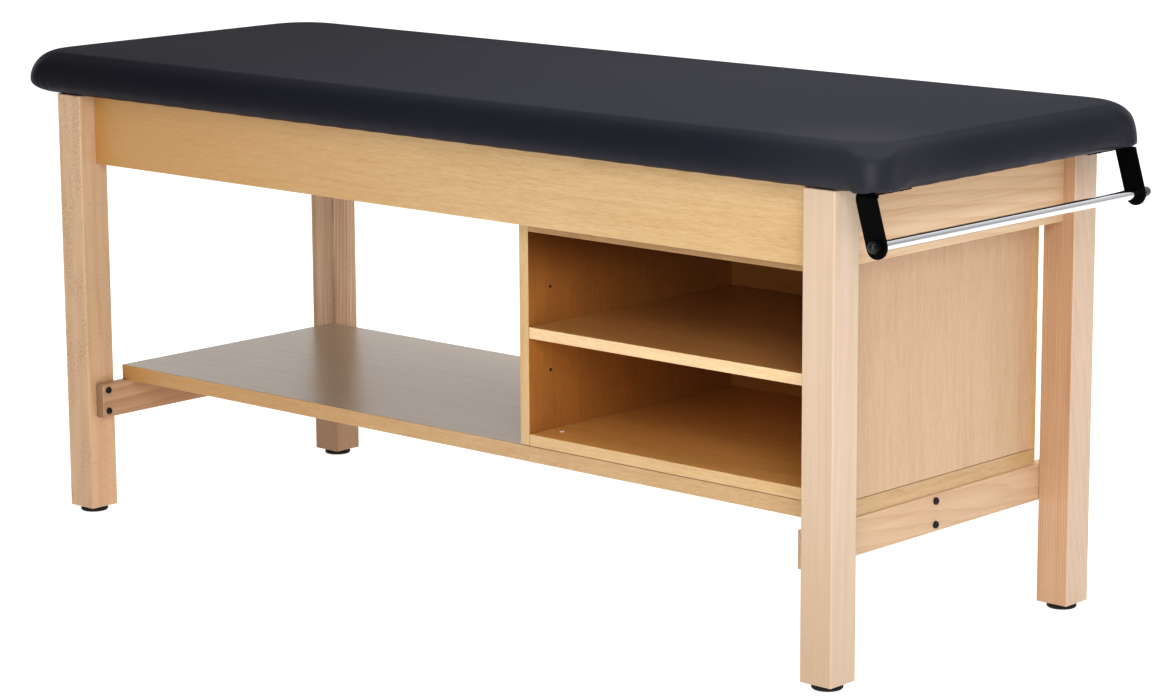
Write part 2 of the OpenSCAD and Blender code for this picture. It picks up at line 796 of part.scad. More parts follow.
module at_back_screws() {
    at_cabinet_sides() for (z = back_screw_shares) {
        translate([panel_t / 2, shelf_rear, cabinet_z + z * cabinet_h]) children();
    }
}

module back_screws() {
    color(steel) in_frame() at_back_screws() {
        bar([0, -1, 0], screw_head_d, screw_head_h);
        bar([0, -1, 0], screw_d, back_t);
    }
}

// The loose shelf with a groove in each end that slides over the pins
pin_room = 1;

module cabinet_shelf() {
    w = cabinet_inner_w - 2 * loose_shelf_gap;
    z = pin_z[1] - loose_shelf_t / 2;
    groove_h = pin_d + fit_gap;
    groove_start = pin_y[0] - pin_d / 2 - fit_gap;
    color(laminate) in_frame() difference() {
        translate([cabinet_inside + loose_shelf_gap, shelf_front, z])
            eased_board([w, panel_d - back_gap, loose_shelf_t], board_edge_r, board_edge_r);
        at_cabinet_sides() translate([panel_t, groove_start, pin_z[1] - groove_h / 2])
            cube([pin_proud + pin_room, panel_d, groove_h]);
    }
}

module shelf_pins() {
    color(steel) in_frame() at_cabinet_sides() for (y = pin_y) {
        translate([panel_t - pin_seat, y, pin_z[1]]) bar([1, 0, 0], pin_d, pin_seat + pin_proud);
    }
}

module cabinet_dowels() {
    color(beech) in_frame() at_cabinet_sides() for (y = cabinet_dowel_y, z = cabinet_dowel_z) {
        translate([panel_t - cabinet_dowel_seat, y, z])
            bar([1, 0, 0], cabinet_dowel_d, cabinet_dowel_l);
    }
}

// Screws down through the front of the cabinet's bottom, from its upper face
module at_cabinet_screws() {
    at_cabinet_sides() translate([panel_t + cap_screw_in, shelf_front + cap_screw_setback,
        cabinet_z + panel_t]) children();
}

// Screws up into the rear of the cabinet's bottom, from the shelf's underside
rear_screw_l = shelf_t + panel_t / 2;

module at_rear_screws() {
    at_cabinet_sides() translate([panel_t + cap_screw_in, back_y - cap_screw_setback, shelf_z])
        children();
}

module cabinet_screws() {
    color(steel) in_frame() {
        at_cabinet_screws() translate([0, 0, -cap_sink]) {
            bar([0, 0, -1], screw_d, panel_t - cap_sink + shelf_t / 2);
            bar([0, 0, 1], cap_screw_head_d, screw_head_h);
        }
        at_rear_screws() screw_up(rear_screw_l);
    }
}

module cabinet_screw_caps() {
    color("white") in_frame() at_cabinet_screws() {
        translate([0, 0, -cap_plug_l]) bar([0, 0, 1], cap_plug_d, cap_plug_l);
        rotate_extrude() cap_profile();
    }
}

// Half of a cap's flat dome in section, part of a large circle
module cap_profile() {
    r = (pow(cap_dome_d / 2, 2) + pow(cap_dome_h, 2)) / (2 * cap_dome_h);
    intersection() {
        translate([0, cap_dome_h - r]) circle(r);
        square([cap_dome_d / 2, 2 * cap_dome_h]);
    }
}

// Paper roll holder. The strap in its own plane: x outwards, y up, the kink at the origin.
// Both edges turn where they cross the line that halves the kink's angle.
module strap_outline() {
    half = strap_w / 2;
    lower = [for (x = [half, -half])
        [x * cos(strap_lean) + strap_arm * sin(strap_lean),
            x * sin(strap_lean) - strap_arm * cos(strap_lean)]];
    polygon([[-half, kink_rise + strap_drop], [-half, -kink_rise], lower[1], lower[0],
        [half, kink_rise], [half, kink_rise + strap_drop]]);
    rotate(strap_lean) translate([0, -strap_arm]) circle(d = strap_w);
}

// The bend and flange in section: x inwards from the outer face, y up to the board
module flange_section() {
    r = flange_bend_r;
    translate([0, -r - strap_drop]) square([strap_t, strap_drop + seat_gap / 10]);
    translate([0, -r]) difference() {
        intersection() {
            translate([r, 0]) circle(r);
            square([r, r]);
        }
        translate([r, 0]) circle(r - strap_t);
    }
    translate([r, -strap_t]) square([flange_l - r, strap_t]);
}

// The front bracket; the rear one is its mirror image
module roll_bracket() {
    difference() {
        union() {
            translate([strap_x, -strap_inner, top_z - strap_kink]) rotate([90, 0, 0])
                linear_extrude(strap_t) strap_outline();
            translate([strap_x - strap_w / 2, -strap_outer, top_z]) rotate([90, 0, 90])
                linear_extrude(strap_w) flange_section();
        }
        translate([strap_x - strap_w / 2 + flange_w, flange_bend_r + flange_neck - strap_outer,
            top_z - strap_t - cut_over]) cube([strap_w, flange_l, strap_t + 2 * cut_over]);
        translate([rod_x, -strap_outer - cut_over, rod_z])
            bar([0, 1, 0], rod_end_d + 2 * running_gap, strap_t + 2 * cut_over);
        front_bracket_screws() translate([0, 0, -cut_over])
            bar([0, 0, 1], screw_d + 2 * seat_gap, strap_t + 2 * cut_over);
    }
}

// Length at the bend over which the flange keeps the strap's width, before it narrows
flange_neck = 1;

// Distances of the two screws from the flange's inner end
bracket_screw_in = [12, 36];

module front_bracket_screws() {
    for (in = bracket_screw_in) {
        translate([strap_x - (strap_w - flange_w) / 2, flange_l - strap_outer - in, top_z - strap_t])
            children();
    }
}

module at_bracket_screws() {
    for (side = [0, 1]) mirror([0, side, 0]) front_bracket_screws() children();
}

module roll_bracket_front() {
    color(black) in_frame() roll_bracket();
}

module roll_bracket_rear() {
    color(black) in_frame() mirror([0, 1, 0]) roll_bracket();
}

module bracket_screws() {
    color(black) in_frame() at_bracket_screws() screw_up(bracket_screw_l);
}

// Length of the rod's end inside the nut or knob, and the knob's shape
rod_seat = 7;
knob_collar = 5;
knob_nose_share = 0.31;
knob_step = 0.6;
knob_neck = 1;
knob_flutes = 8;
flute_d = 4;
flute_rise = 2.5;
rod_edge_r = 1;
cap_hex_share = 0.58;
cap_dome_share = 0.44;
cap_corner_share = 1.08;

module paper_rod() {
    inner = strap_inner - fit_gap;
    tip = strap_outer + fit_gap + rod_seat;
    color(steel) in_frame() translate([rod_x, 0, rod_z]) rotate([-90, 0, 0]) rotate_extrude() {
        translate([0, -tip]) square([rod_end_d / 2, 2 * tip]);
        translate([0, rod_edge_r - inner]) square([rod_d / 2, 2 * (inner - rod_edge_r)]);
        translate([0, -inner]) square([rod_d / 2 - rod_edge_r, 2 * inner]);
        for (s = [-1, 1]) translate([rod_d / 2 - rod_edge_r, s * (inner - rod_edge_r)])
            circle(rod_edge_r);
    }
}

// The cap nut: a hexagon with a dome, bored for the rod's end
module rod_cap_nut() {
    hex_h = cap_hex_share * cap_h;
    dome_r = cap_dome_share * cap_flats;
    color(black) in_frame() translate([rod_x, -strap_outer - fit_gap, rod_z]) rotate([90, 0, 0])
        difference() {
            union() {
                intersection() {
                    cylinder(d = cap_flats / cos(30), h = hex_h, $fn = 6);
                    cylinder(d = cap_flats * cap_corner_share, h = hex_h);
                }
                rotate_extrude() intersection() {
                    translate([0, cap_h - dome_r]) circle(dome_r);
                    square([dome_r, cap_h]);
                }
                cylinder(r = dome_r, h = cap_h - dome_r);
            }
            translate([0, 0, -cut_over])
                cylinder(d = rod_end_d + 2 * seat_gap, h = rod_seat + end_room + cut_over);
        }
}

// The knob: a collar and a tapered grip with a round nose and shallow flutes
module rod_knob() {
    nose_r = knob_d * knob_nose_share;
    color(black) in_frame() translate([rod_x, strap_outer + fit_gap, rod_z]) rotate([-90, 0, 0])
        difference() {
            rotate_extrude() {
                square([knob_d / 2, knob_collar]);
                polygon([[0, 0], [knob_d / 2 - knob_step, 0],
                    [knob_d / 2 - knob_step, knob_collar + knob_neck],
                    [nose_r, knob_l - nose_r], [0, knob_l - nose_r]]);
                intersection() {
                    translate([0, knob_l - nose_r]) circle(nose_r);
                    square([knob_d, knob_l]);
                }
            }
            translate([0, 0, -cut_over])
                cylinder(d = rod_end_d + 2 * seat_gap, h = rod_seat + end_room + cut_over);
            for (i = [0:knob_flutes - 1]) rotate([0, 0, i * 360 / knob_flutes])
                translate([knob_d / 2, 0, knob_collar + flute_rise]) cylinder(d = flute_d, h = knob_l);
        }
}

// Levelling feet
module foot_pad_at(sx, sy) {
    color(black) in_frame() translate([sx * (leg_x - leg_w / 2), sy * (leg_y - leg_w / 2), 0])
        difference() {
            rotate_extrude() foot_profile();
            translate([0, 0, foot_h / 2]) cylinder(d = stem_d + 2 * seat_gap, h = foot_h);
        }
}

// Half of a foot in section: an eased sole and a tapered wall
module foot_profile() {
    sole = 1.5;
    rim = 0.6;
    wall_share = 0.45;
    polygon([[0, 0], [foot_d / 2 - sole, 0], [foot_d / 2, sole], [foot_d / 2, foot_h * wall_share],
        [foot_top_d / 2, foot_h - rim], [foot_top_d / 2 - rim, foot_h], [0, foot_h]]);
}

module foot_stem_at(sx, sy) {
    color(steel) in_frame()
        translate([sx * (leg_x - leg_w / 2), sy * (leg_y - leg_w / 2), foot_h / 2])
        cylinder(d = stem_d, h = foot_h / 2 + stem_l);
}

module foot_pad_front_left() { foot_pad_at(-1, -1); }
module foot_pad_front_right() { foot_pad_at(1, -1); }
module foot_pad_rear_left() { foot_pad_at(-1, 1); }
module foot_pad_rear_right() { foot_pad_at(1, 1); }
module foot_stem_front_left() { foot_stem_at(-1, -1); }
module foot_stem_front_right() { foot_stem_at(1, -1); }
module foot_stem_rear_left() { foot_stem_at(-1, 1); }
module foot_stem_rear_right() { foot_stem_at(1, 1); }

module foot_inserts() {
    color(steel) in_frame() at_legs() translate([-leg_w / 2, -leg_w / 2, leg_bottom]) difference() {
        cylinder(d = stem_d + 2 * insert_wall, h = insert_l);
        translate([0, 0, -cut_over])
            cylinder(d = stem_d + 2 * running_gap, h = insert_l + 2 * cut_over);
    }
}

top_cover();
top_foam();
top_board();
top_bearers();
top_screws();
leg_front_left();
leg_front_right();
leg_rear_left();
leg_rear_right();
apron_front();
apron_rear();
apron_left();
apron_right();
apron_dowels();
corner_blocks();
corner_bolts();
cross_rail_left();
cross_rail_right();
center_stretcher();
rail_bolts();
rail_inserts();
stretcher_bolts();
barrel_nuts();
lower_shelf();
shelf_screws();
cabinet_side_left();
cabinet_side_right();
cabinet_top();
cabinet_bottom();
cabinet_back();
cabinet_shelf();
shelf_pins();
cabinet_dowels();
cabinet_screws();
cabinet_screw_caps();
back_screws();
roll_bracket_front();
roll_bracket_rear();
bracket_screws();
paper_rod();
rod_cap_nut();
rod_knob();
foot_pad_front_left();
foot_pad_front_right();
foot_pad_rear_left();
foot_pad_rear_right();
foot_stem_front_left();
foot_stem_front_right();
foot_stem_rear_left();
foot_stem_rear_right();
foot_inserts();
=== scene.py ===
"""Finishes, upholstery and studio for a treatment table with a beech frame.

The table's construction comes from a fixed frame in metres, +Z up, with the front
towards -Y. Each sub-assembly below is a class that dresses its part of that frame and
adds the pieces whose look needs a finer mesh, such as the padded top.
"""

from __future__ import annotations

import logging
import math
from dataclasses import dataclass, field
from enum import Enum
from typing import Any, Mapping, Sequence, Union

import bmesh
import bpy
import numpy as np
from mathutils import Matrix, Vector


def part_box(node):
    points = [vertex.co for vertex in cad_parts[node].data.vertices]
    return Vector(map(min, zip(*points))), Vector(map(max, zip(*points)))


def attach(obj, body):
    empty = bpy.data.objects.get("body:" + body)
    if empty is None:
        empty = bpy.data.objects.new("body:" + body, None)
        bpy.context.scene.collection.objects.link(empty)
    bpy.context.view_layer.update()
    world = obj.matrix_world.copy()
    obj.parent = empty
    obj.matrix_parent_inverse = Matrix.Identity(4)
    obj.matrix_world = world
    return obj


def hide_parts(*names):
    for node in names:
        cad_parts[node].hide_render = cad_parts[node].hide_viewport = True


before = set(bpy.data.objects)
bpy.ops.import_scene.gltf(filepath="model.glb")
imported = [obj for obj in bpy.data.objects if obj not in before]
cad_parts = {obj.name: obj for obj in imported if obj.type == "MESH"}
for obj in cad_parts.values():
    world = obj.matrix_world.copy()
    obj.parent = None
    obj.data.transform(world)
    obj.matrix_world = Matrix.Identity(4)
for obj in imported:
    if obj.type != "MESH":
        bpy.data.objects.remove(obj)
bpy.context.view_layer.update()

LOG = logging.getLogger("treatment_table")
MM = 0.001

CORNERS = ("front_left", "front_right", "rear_left", "rear_right")

Color = tuple[float, float, float]
Point = tuple[float, float, float]
Span = tuple[float, float]

ZINC_TONE: Color = (0.62, 0.63, 0.66)


class Axis(Enum):
    """A direction of the object's frame, by its place in a vector."""

    X = 0
    Y = 1
    Z = 2


class Slot(Enum):
    """Material slots of the pieces that the scene adds."""

    VINYL = "vinyl"
    ZINC = "zinc"


class Wire:
    """An output socket of a shader tree, with arithmetic that adds Math nodes."""

    def __init__(self, tree: ShaderTree, socket: bpy.types.NodeSocket) -> None:
        """Keeps the tree, which makes new nodes, and the socket that this wire leaves."""
        self.tree = tree
        self.socket = socket

    def other(self, name: str) -> Wire:
        """Another output of the same node."""
        return Wire(self.tree, self.socket.node.outputs[name])

    def __add__(self, term: Term) -> Wire:
        """This value plus the term."""
        return self.tree.math("ADD", self, term)

    def __sub__(self, term: Term) -> Wire:
        """This value less the term."""
        return self.tree.math("SUBTRACT", self, term)

    def __rsub__(self, term: Term) -> Wire:
        """The term less this value."""
        return self.tree.math("SUBTRACT", term, self)

    def __mul__(self, term: Term) -> Wire:
        """This value times the term."""
        return self.tree.math("MULTIPLY", self, term)

    def __truediv__(self, term: Term) -> Wire:
        """This value over the term."""
        return self.tree.math("DIVIDE", self, term)

    def __pow__(self, term: Term) -> Wire:
        """This value to the power of the term."""
        return self.tree.math("POWER", self, term)

    def __abs__(self) -> Wire:
        """This value without its sign."""
        return self.tree.math("ABSOLUTE", self)

    __radd__ = __add__

    def part(self) -> Wire:
        """The share after the decimal point, a saw that climbs from 0 to 1."""
        return self.tree.math("FRACT", self)

    def step(self, low: float, high: float) -> Wire:
        """A smooth rise from 0 at low to 1 at high, or a fall where low is the larger.

        Args:
            low: Value that gives 0.
            high: Value that gives 1.

        Returns:
            The eased share, held between 0 and 1.
        """
        ends = (low, high, 0.0, 1.0) if low < high else (high, low, 1.0, 0.0)
        names = ("From Min", "From Max", "To Min", "To Max")
        sockets = dict(zip(names, ends)) | {"Value": self}
        return self.tree.add("ShaderNodeMapRange", {"interpolation_type": "SMOOTHSTEP"}, sockets)


Term = Union[Wire, float]


class ShaderTree:
    """The node tree of one new material or world."""

    def __init__(self, holder: Union[bpy.types.Material, bpy.types.World]) -> None:
        """Empties the tree.

        Args:
            holder: The material or world that the tree belongs to.
        """
        self.holder = holder
        holder.use_nodes = True
        self.tree = holder.node_tree
        self.tree.nodes.clear()

    def add(
        self,
        kind: str,
        settings: Mapping[str, Any],
        sockets: Mapping[Union[str, int], Any],
        out: Union[str, int, None] = 0,
    ) -> Union[Wire, None]:
        """Adds one node.

        Args:
            kind: The node's type.
            settings: Properties of the node, set first.
            sockets: Values or wires for its inputs, by name or place.
            out: The output to return, or None for a node without outputs.

        Returns:
            The wire that leaves the chosen output, or None.
        """
        node = self.tree.nodes.new(kind)
        for name, value in settings.items():
            setattr(node, name, value)
        for key, value in sockets.items():
            self._plug(node.inputs[key], value)
        return None if out is None else Wire(self, node.outputs[out])

    def _plug(self, socket: bpy.types.NodeSocket, value: Any) -> None:
        """Links a wire to a socket, or sets the socket's own value.

        Args:
            socket: The input.
            value: A wire, a number or a colour.
        """
        if isinstance(value, Wire):
            self.tree.links.new(value.socket, socket)
        elif isinstance(value, tuple) and socket.type == "RGBA":
            socket.default_value = (*value, 1.0)
        else:
            socket.default_value = value

    def math(self, operation: str, *terms: Term) -> Wire:
        """A Math node with the terms in its inputs."""
        return self.add("ShaderNodeMath", {"operation": operation}, dict(enumerate(terms)))

    def mix(self, share: Term, first: Union[Wire, Color], second: Union[Wire, Color]) -> Wire:
        """A colour Mix node, whose sockets are found by identifier.

        Args:
            share: How much of the second colour shows, from 0 to 1.
            first: The colour at share 0.
            second: The colour at share 1.

        Returns:
            The mixed colour.
        """
        node = self.tree.nodes.new("ShaderNodeMix")
        node.data_type = "RGBA"
        for key, value in {"Factor_Float": share, "A_Color": first, "B_Color": second}.items():
            self._plug(next(s for s in node.inputs if s.identifier == key), value)
        return Wire(self, next(s for s in node.outputs if s.identifier == "Result_Color"))

    def split(self, output: str) -> Wire:
        """The X of one of the texture coordinates, with Y and Z on the same node."""
        coords = self.add("ShaderNodeTexCoord", {}, {}, output)
        return self.add("ShaderNodeSeparateXYZ", {}, {0: coords})

    def axes(self) -> list[Wire]:
        """The object's X, Y and Z at each point, in metres."""
        first = self.split("Object")
        return [first, first.other("Y"), first.other("Z")]

    def slope(self, axis: Axis) -> Wire:
        """The surface normal's part along an axis, from -1 to 1."""
        return self.split("Normal").other(axis.name)

    def facing(self, axis: Axis) -> Wire:
        """How far the surface faces along an axis either way, from 0 to 1."""
        return abs(self.slope(axis))

    def vector(self, x: Term, y: Term, z: Term) -> Wire:
        """A vector from three values."""
        return self.add("ShaderNodeCombineXYZ", {}, {0: x, 1: y, 2: z})

    def noise(self, place: Wire, scale: float, detail: float = 2.0, rough: float = 0.5) -> Wire:
        """Soft noise from 0 to 1 at a place."""
        sockets = {"Vector": place, "Scale": scale, "Detail": detail, "Roughness": rough}
        return self.add("ShaderNodeTexNoise", {}, sockets)

    def grain(self, place: Sequence[Wire], lengthwise: float, crosswise: float,
              detail: float = 2.0, rough: float = 0.5) -> Wire:
        """Soft noise from 0 to 1 that is stretched along the grain.

        Args:
            place: Position along the grain, and across it both ways.
            lengthwise: Blotches per metre along the grain.
            crosswise: Blotches per metre across it.
            detail: How many finer noises lie over the first.
            rough: Strength of each finer noise.

        Returns:
            The noise's value.
        """
        along, side, depth = place
        stretched = self.vector(along * lengthwise, side * crosswise, depth * crosswise)
        return self.noise(stretched, 1.0, detail, rough)

    def cells(self, place: Wire, scale: float) -> Wire:
        """Distance to the nearest of many scattered points."""
        return self.add("ShaderNodeTexVoronoi", {}, {"Vector": place, "Scale": scale})

    def bump(self, height: Wire, depth: float, strength: float = 1.0) -> Wire:
        """A bumped normal; depth is the height's full range in metres."""
        sockets = {"Height": height, "Distance": depth, "Strength": strength}
        return self.add("ShaderNodeBump", {}, sockets)

    def surface(self, **sockets: Any) -> bpy.types.Material:
        """Ends the tree in one Principled shader.

        Args:
            **sockets: Values or wires by socket name, with underscores for spaces.

        Returns:
            The finished material.
        """
        named = {key.replace("_", " "): value for key, value in sockets.items()}
        shader = self.add("ShaderNodeBsdfPrincipled", {}, named)
        self.add("ShaderNodeOutputMaterial", {}, {"Surface": shader}, None)
        return self.holder


def third_axis(first: Axis, second: Axis) -> Axis:
    """The axis that is neither of the two."""
    return next(axis for axis in Axis if axis not in (first, second))


def scaled(color: Color, share: float) -> Color:
    """A colour times a share."""
    return tuple(share * part for part in color)


@dataclass(frozen=True)
class SolidBeech:
    """Solid beech, as a block cut beside the middle of its trunk.

    The growth rings are cylinders round a line that runs nearly along the piece, so each
    face shows its own figure. The dark flecks are short on the faces that look away from
    the trunk's middle and fade on the others.
    """

    along: Axis
    radial: Axis
    light: Color = (0.66, 0.47, 0.31)
    dark: Color = (0.55, 0.34, 0.20)
    pith: tuple[float, float] = (0.14, 0.03)
    lean: float = 0.02
    ring: float = 0.0045
    flecks: float = 0.5
    waves: float = 0.3
    # painted light: share by which faces along the radial axis turn paler
    pale: float = 0.0
    # painted shade: share by which the wood darkens towards its lower end
    foot: float = 0.0
    seed: float = 0.0
    # colour of the painted light on those faces
    painted_light_tone: Color = (0.74, 0.62, 0.50)
    # heights where the painted foot shade starts and where it is full
    foot_shade_span: Span = (0.42, 0.05)
    wander: float = 0.02
    depth: float = 0.00012

    def material(self, name: str) -> bpy.types.Material:
        """Builds the material.

        The ring value is the distance from the leaning trunk line over the ring's width,
        whose decimal part climbs to a dark late-wood line. Faces that look along the
        radial axis turn paler by the pale share, a painted light for the side that light
        falls on, and a painted shade darkens the wood by the foot share towards its lower
        end.

        Args:
            name: The material's name.

        Returns:
            The new material.
        """
        tree = ShaderTree(bpy.data.materials.new(name))
        axes = tree.axes()
        along = axes[self.along.value] + self.seed
        radial = axes[self.radial.value]
        across = axes[third_axis(self.along, self.radial).value]
        place = (along, radial, across)
        wander = (tree.grain(place, 1.6, 9.0, 3.0) - 0.5) * self.wander
        out = radial + self.pith[0] + along * self.lean + wander
        side = across + self.pith[1] + wander
        distance = tree.math("SQRT", out * out + side * side)
        saw = (distance / self.ring).part()
        late = saw ** 2.0 * saw.step(1.0, 0.86)
        fibre = tree.grain(place, 7.0, 420.0, 3.0, 0.6)
        streak = tree.grain(place, 1.8, 90.0)
        tone = tree.grain(place, 2.2, 7.0)
        scattered = tree.vector(along * 210.0, across * 900.0, radial * 60.0)
        dashes = tree.cells(scattered, 1.0).step(0.42, 0.2)
        patch = tree.grain(place, 16.0, 60.0, 1.0)
        faces = tree.facing(self.radial).step(0.3, 0.8)
        fleck = dashes * patch.step(0.36, 0.62) * (faces * 0.85 + 0.15) * self.flecks
        share = late * (0.16 + 0.5 * self.waves) + fibre * 0.5 + streak * 0.6 + tone * 0.7
        share = share - 0.5 - 0.15 * self.waves
        # painted shade towards the lower end
        if self.foot:
            share = share + axes[self.along.value].step(*self.foot_shade_span) * self.foot
        color = tree.mix(share.step(0.0, 1.0), self.light, self.dark)
        # painted light on the faces along the radial axis
        if self.pale:
            color = tree.mix(faces * self.pale, color, self.painted_light_tone)
        color = tree.mix(fleck, color, scaled(self.dark, 0.45))
        cut = tree.facing(self.along).step(0.6, 0.9)
        color = tree.mix(cut * (0.35 + late * 0.3), color, scaled(self.dark, 0.5))
        height = fibre * 0.7 + late * 0.15 - fleck * 0.6
        return tree.surface(
            Base_Color=color,
            Roughness=0.44 + fibre * 0.12 + fleck * 0.12,
            Normal=tree.bump(height, self.depth, 0.6),
            Specular_IOR_Level=0.35,
        )


@dataclass(frozen=True)
class BeechLaminate:
    """Board faced and edged with a printed beech laminate under a clear, smooth film."""

    along: Axis
    ends: Axis
    light: Color = (0.64, 0.44, 0.225)
    dark: Color = (0.52, 0.32, 0.135)
    gloss: float = 0.32
    seed: float = 0.0
    # painted shade: tone of the face that looks into the cabinet or lies under the top
    inner: Color = (0.44, 0.19, 0.05)
    inner_axis: Axis = Axis.Z
    painted_shade_side: float = 0.0
    inner_gloss: float = 0.26
    # painted shade: share by which the tone deepens towards the low end along the grain
    painted_end_shade: float = 0.0
    painted_end_shade_tone: Color = (0.52, 0.26, 0.07)
    painted_end_shade_span: Span = (0.3, -0.9)
    seams: tuple[tuple[Axis, float], ...] = ()
    seam_tone: Color = (0.12, 0.045, 0.012)
    seam_share: float = 0.85
    seam_width: float = 1.4 * MM
    bores: Union[Span, None] = None
    # painted shade on the walls of the bores
    bore_shade_tone: Color = (0.05, 0.018, 0.005)
    # painted shade: the inner tone darkens just below this height
    ceiling: Union[float, None] = None
    ceiling_shade_tone: Color = (0.10, 0.03, 0.006)
    ceiling_shade_share: float = 0.8
    ceiling_shade_reach: float = 0.11
    wander: float = 0.012
    depth: float = 0.00004

    def material(self, name: str) -> bpy.types.Material:
        """Builds the material.

        Three noises stretched along the grain give bands, streaks and short dashes, and a
        fourth bends them. On a face that looks along the grain, the strip of edging takes
        its grain along the board's other side instead. The face that looks into the
        cabinet or lies under the top gets a painted shade, a darker inner tone: its share
        is the normal along the inner axis times the chosen side, which is 1 or -1, or 0
        without it. With a share of end shade, a painted shade deepens the tone towards
        the board's low end along the grain. Next to each seam, which is a plane across an
        axis, the edge is dark. Walls of bores, which lie between the two given places
        along the board's ends axis, get a dark painted shade, and so does the inner tone
        just below the ceiling's height.

        Args:
            name: The material's name.

        Returns:
            The new material.
        """
        tree = ShaderTree(bpy.data.materials.new(name))
        axes = tree.axes()
        end_face = tree.facing(self.along).step(0.6, 0.8)
        first = axes[self.along.value]
        second = axes[self.ends.value]
        along = first + (second - first) * end_face + self.seed
        across = second + (first - second) * end_face
        inward = axes[third_axis(self.along, self.ends).value]
        wander = tree.grain((along, across, inward), 3.2, 7.0, 1.0)
        place = (along, across + (wander - 0.5) * self.wander, inward)
        bands = tree.grain(place, 2.4, 22.0)
        streaks = tree.grain(place, 9.0, 150.0, 3.0, 0.6)
        dashes = tree.grain(place, 55.0, 560.0, 2.0, 0.6)
        share = (bands * 0.6 + streaks * 0.9 + dashes.step(0.35, 0.68) * 0.34 - 0.48).step(0.0, 1.0)
        color = tree.mix(share, self.light, self.dark)
        # painted shade towards the board's low end along the grain
        if self.painted_end_shade:
            color = tree.mix(first.step(*self.painted_end_shade_span) * self.painted_end_shade, color, self.painted_end_shade_tone)
        gloss = streaks * 0.08 + self.gloss
        relief = streaks * 0.4 + dashes * 0.6
        # painted shade on the face that looks into the cabinet or lies under the top
        if self.painted_shade_side:
            painted_shade = (tree.slope(self.inner_axis) * self.painted_shade_side).step(0.6, 0.9)
            inner = tree.mix(share, self.inner, scaled(self.inner, 0.78))
            color = tree.mix(painted_shade, color, inner)
            gloss = gloss + painted_shade * (self.inner_gloss - self.gloss)
            relief = relief * (1 - painted_shade * 0.85)
        # painted shade just below the ceiling
        if self.ceiling:
            ceiling_shade_band = axes[Axis.Z.value].step(self.ceiling - self.ceiling_shade_reach, self.ceiling)
            color = tree.mix(painted_shade * ceiling_shade_band * self.ceiling_shade_share, color, self.ceiling_shade_tone)
        # painted shade, dark walls inside the bores
        if self.bores:
            low, high = self.bores
            open_wall = tree.facing(self.inner_axis).step(0.7, 0.3)
            within = second.step(low, low + MM) * second.step(high, high - MM)
            color = tree.mix(open_wall * within, color, self.bore_shade_tone)
        for axis, plane in self.seams:
            near = abs(axes[axis.value] - plane).step(self.seam_width, 0.5 * self.seam_width)
            color = tree.mix(near * self.seam_share, color, self.seam_tone)
        return tree.surface(
            Base_Color=color,
            Roughness=gloss,
            Normal=tree.bump(relief, self.depth, 0.35),
            Specular_IOR_Level=0.5,
        )


@dataclass(frozen=True)
class Vinyl:
    """Charcoal upholstery vinyl with a fine leather grain."""

    color: Color = (0.0130, 0.0130, 0.0210)
    # painted highlight: the paler colour round the near corner
    painted_highlight_color: Color = (0.026, 0.026, 0.034)
    # painted shade: the colour towards the low end along X
    painted_shade_color: Color = (0.0028, 0.0028, 0.0078)
    rough: float = 0.40
    wear: float = 0.40
    # where the painted shade runs along X, and how much of it shows
    painted_shade_span: Span = (0.35, -0.9)
    painted_shade_share: float = 0.9
    # where the painted highlight lies along X and Y
    painted_highlight_x: Span = (0.6, 0.88)
    painted_highlight_y: Span = (-0.1, -0.32)
    depth: float = 0.00006

    def material(self, name: str) -> bpy.types.Material:
        """Builds the material.

        Small cells give the pebbled grain and two noises its uneven sheen. Where the
        cover faces up it is more matte, by the wear. A painted shade makes it darker
        towards the low end along X, and a painted highlight makes it paler round the
        near corner.

        Args:
            name: The material's name.

        Returns:
            The new material.
        """
        tree = ShaderTree(bpy.data.materials.new(name))
        place = tree.add("ShaderNodeTexCoord", {}, {}, "Object")
        pebbles = tree.cells(place, 900.0)
        fine = tree.noise(place, 1600.0, 2.0)
        cloud = tree.noise(place, 5.0, 3.0)
        worn = tree.slope(Axis.Z).step(0.5, 0.98)
        color = tree.mix(cloud.step(0.3, 0.75), self.color, scaled(self.color, 1.12))
        x, y, _ = tree.axes()
        # painted shade, darker towards the low end along X
        color = tree.mix(x.step(*self.painted_shade_span) * self.painted_shade_share, color, self.painted_shade_color)
        # painted highlight, paler round the near corner
        painted_highlight = x.step(*self.painted_highlight_x) * y.step(*self.painted_highlight_y)
        color = tree.mix(painted_highlight, color, self.painted_highlight_color)
        return tree.surface(
            Base_Color=color,
            Roughness=worn * self.wear + cloud * 0.06 + fine * 0.04 + self.rough,
            Normal=tree.bump(pebbles + fine * 0.5, self.depth, 0.5),
            Specular_IOR_Level=0.14,
        )


@dataclass(frozen=True)
class Coating:
    """Paint, powder coat, plastic or plated metal with a fine uneven surface."""

    color: Color
    rough: float
    metal: float = 0.0
    specular: float = 0.5
    grain: float = 700.0
    depth: float = 0.00003
    vary: float = 0.08

    def material(self, name: str) -> bpy.types.Material:
        """Builds the material.

        One noise roughens the surface, and a broader one varies its colour and gloss.

        Args:
            name: The material's name.

        Returns:
            The new material.
        """
        tree = ShaderTree(bpy.data.materials.new(name))
        place = tree.add("ShaderNodeTexCoord", {}, {}, "Object")
        fine = tree.noise(place, self.grain, 2.0)
        broad = tree.noise(place, 30.0, 3.0)
        paler = tuple(min(1.0, c * (1.0 + 2.0 * self.vary) + 0.001) for c in self.color)
        return tree.surface(
            Base_Color=tree.mix(broad, self.color, paler),
            Roughness=self.rough + (broad - 0.5) * self.vary + fine * 0.05,
            Metallic=self.metal,
            Normal=tree.bump(fine, self.depth, 0.6),
            Specular_IOR_Level=self.specular,
        )


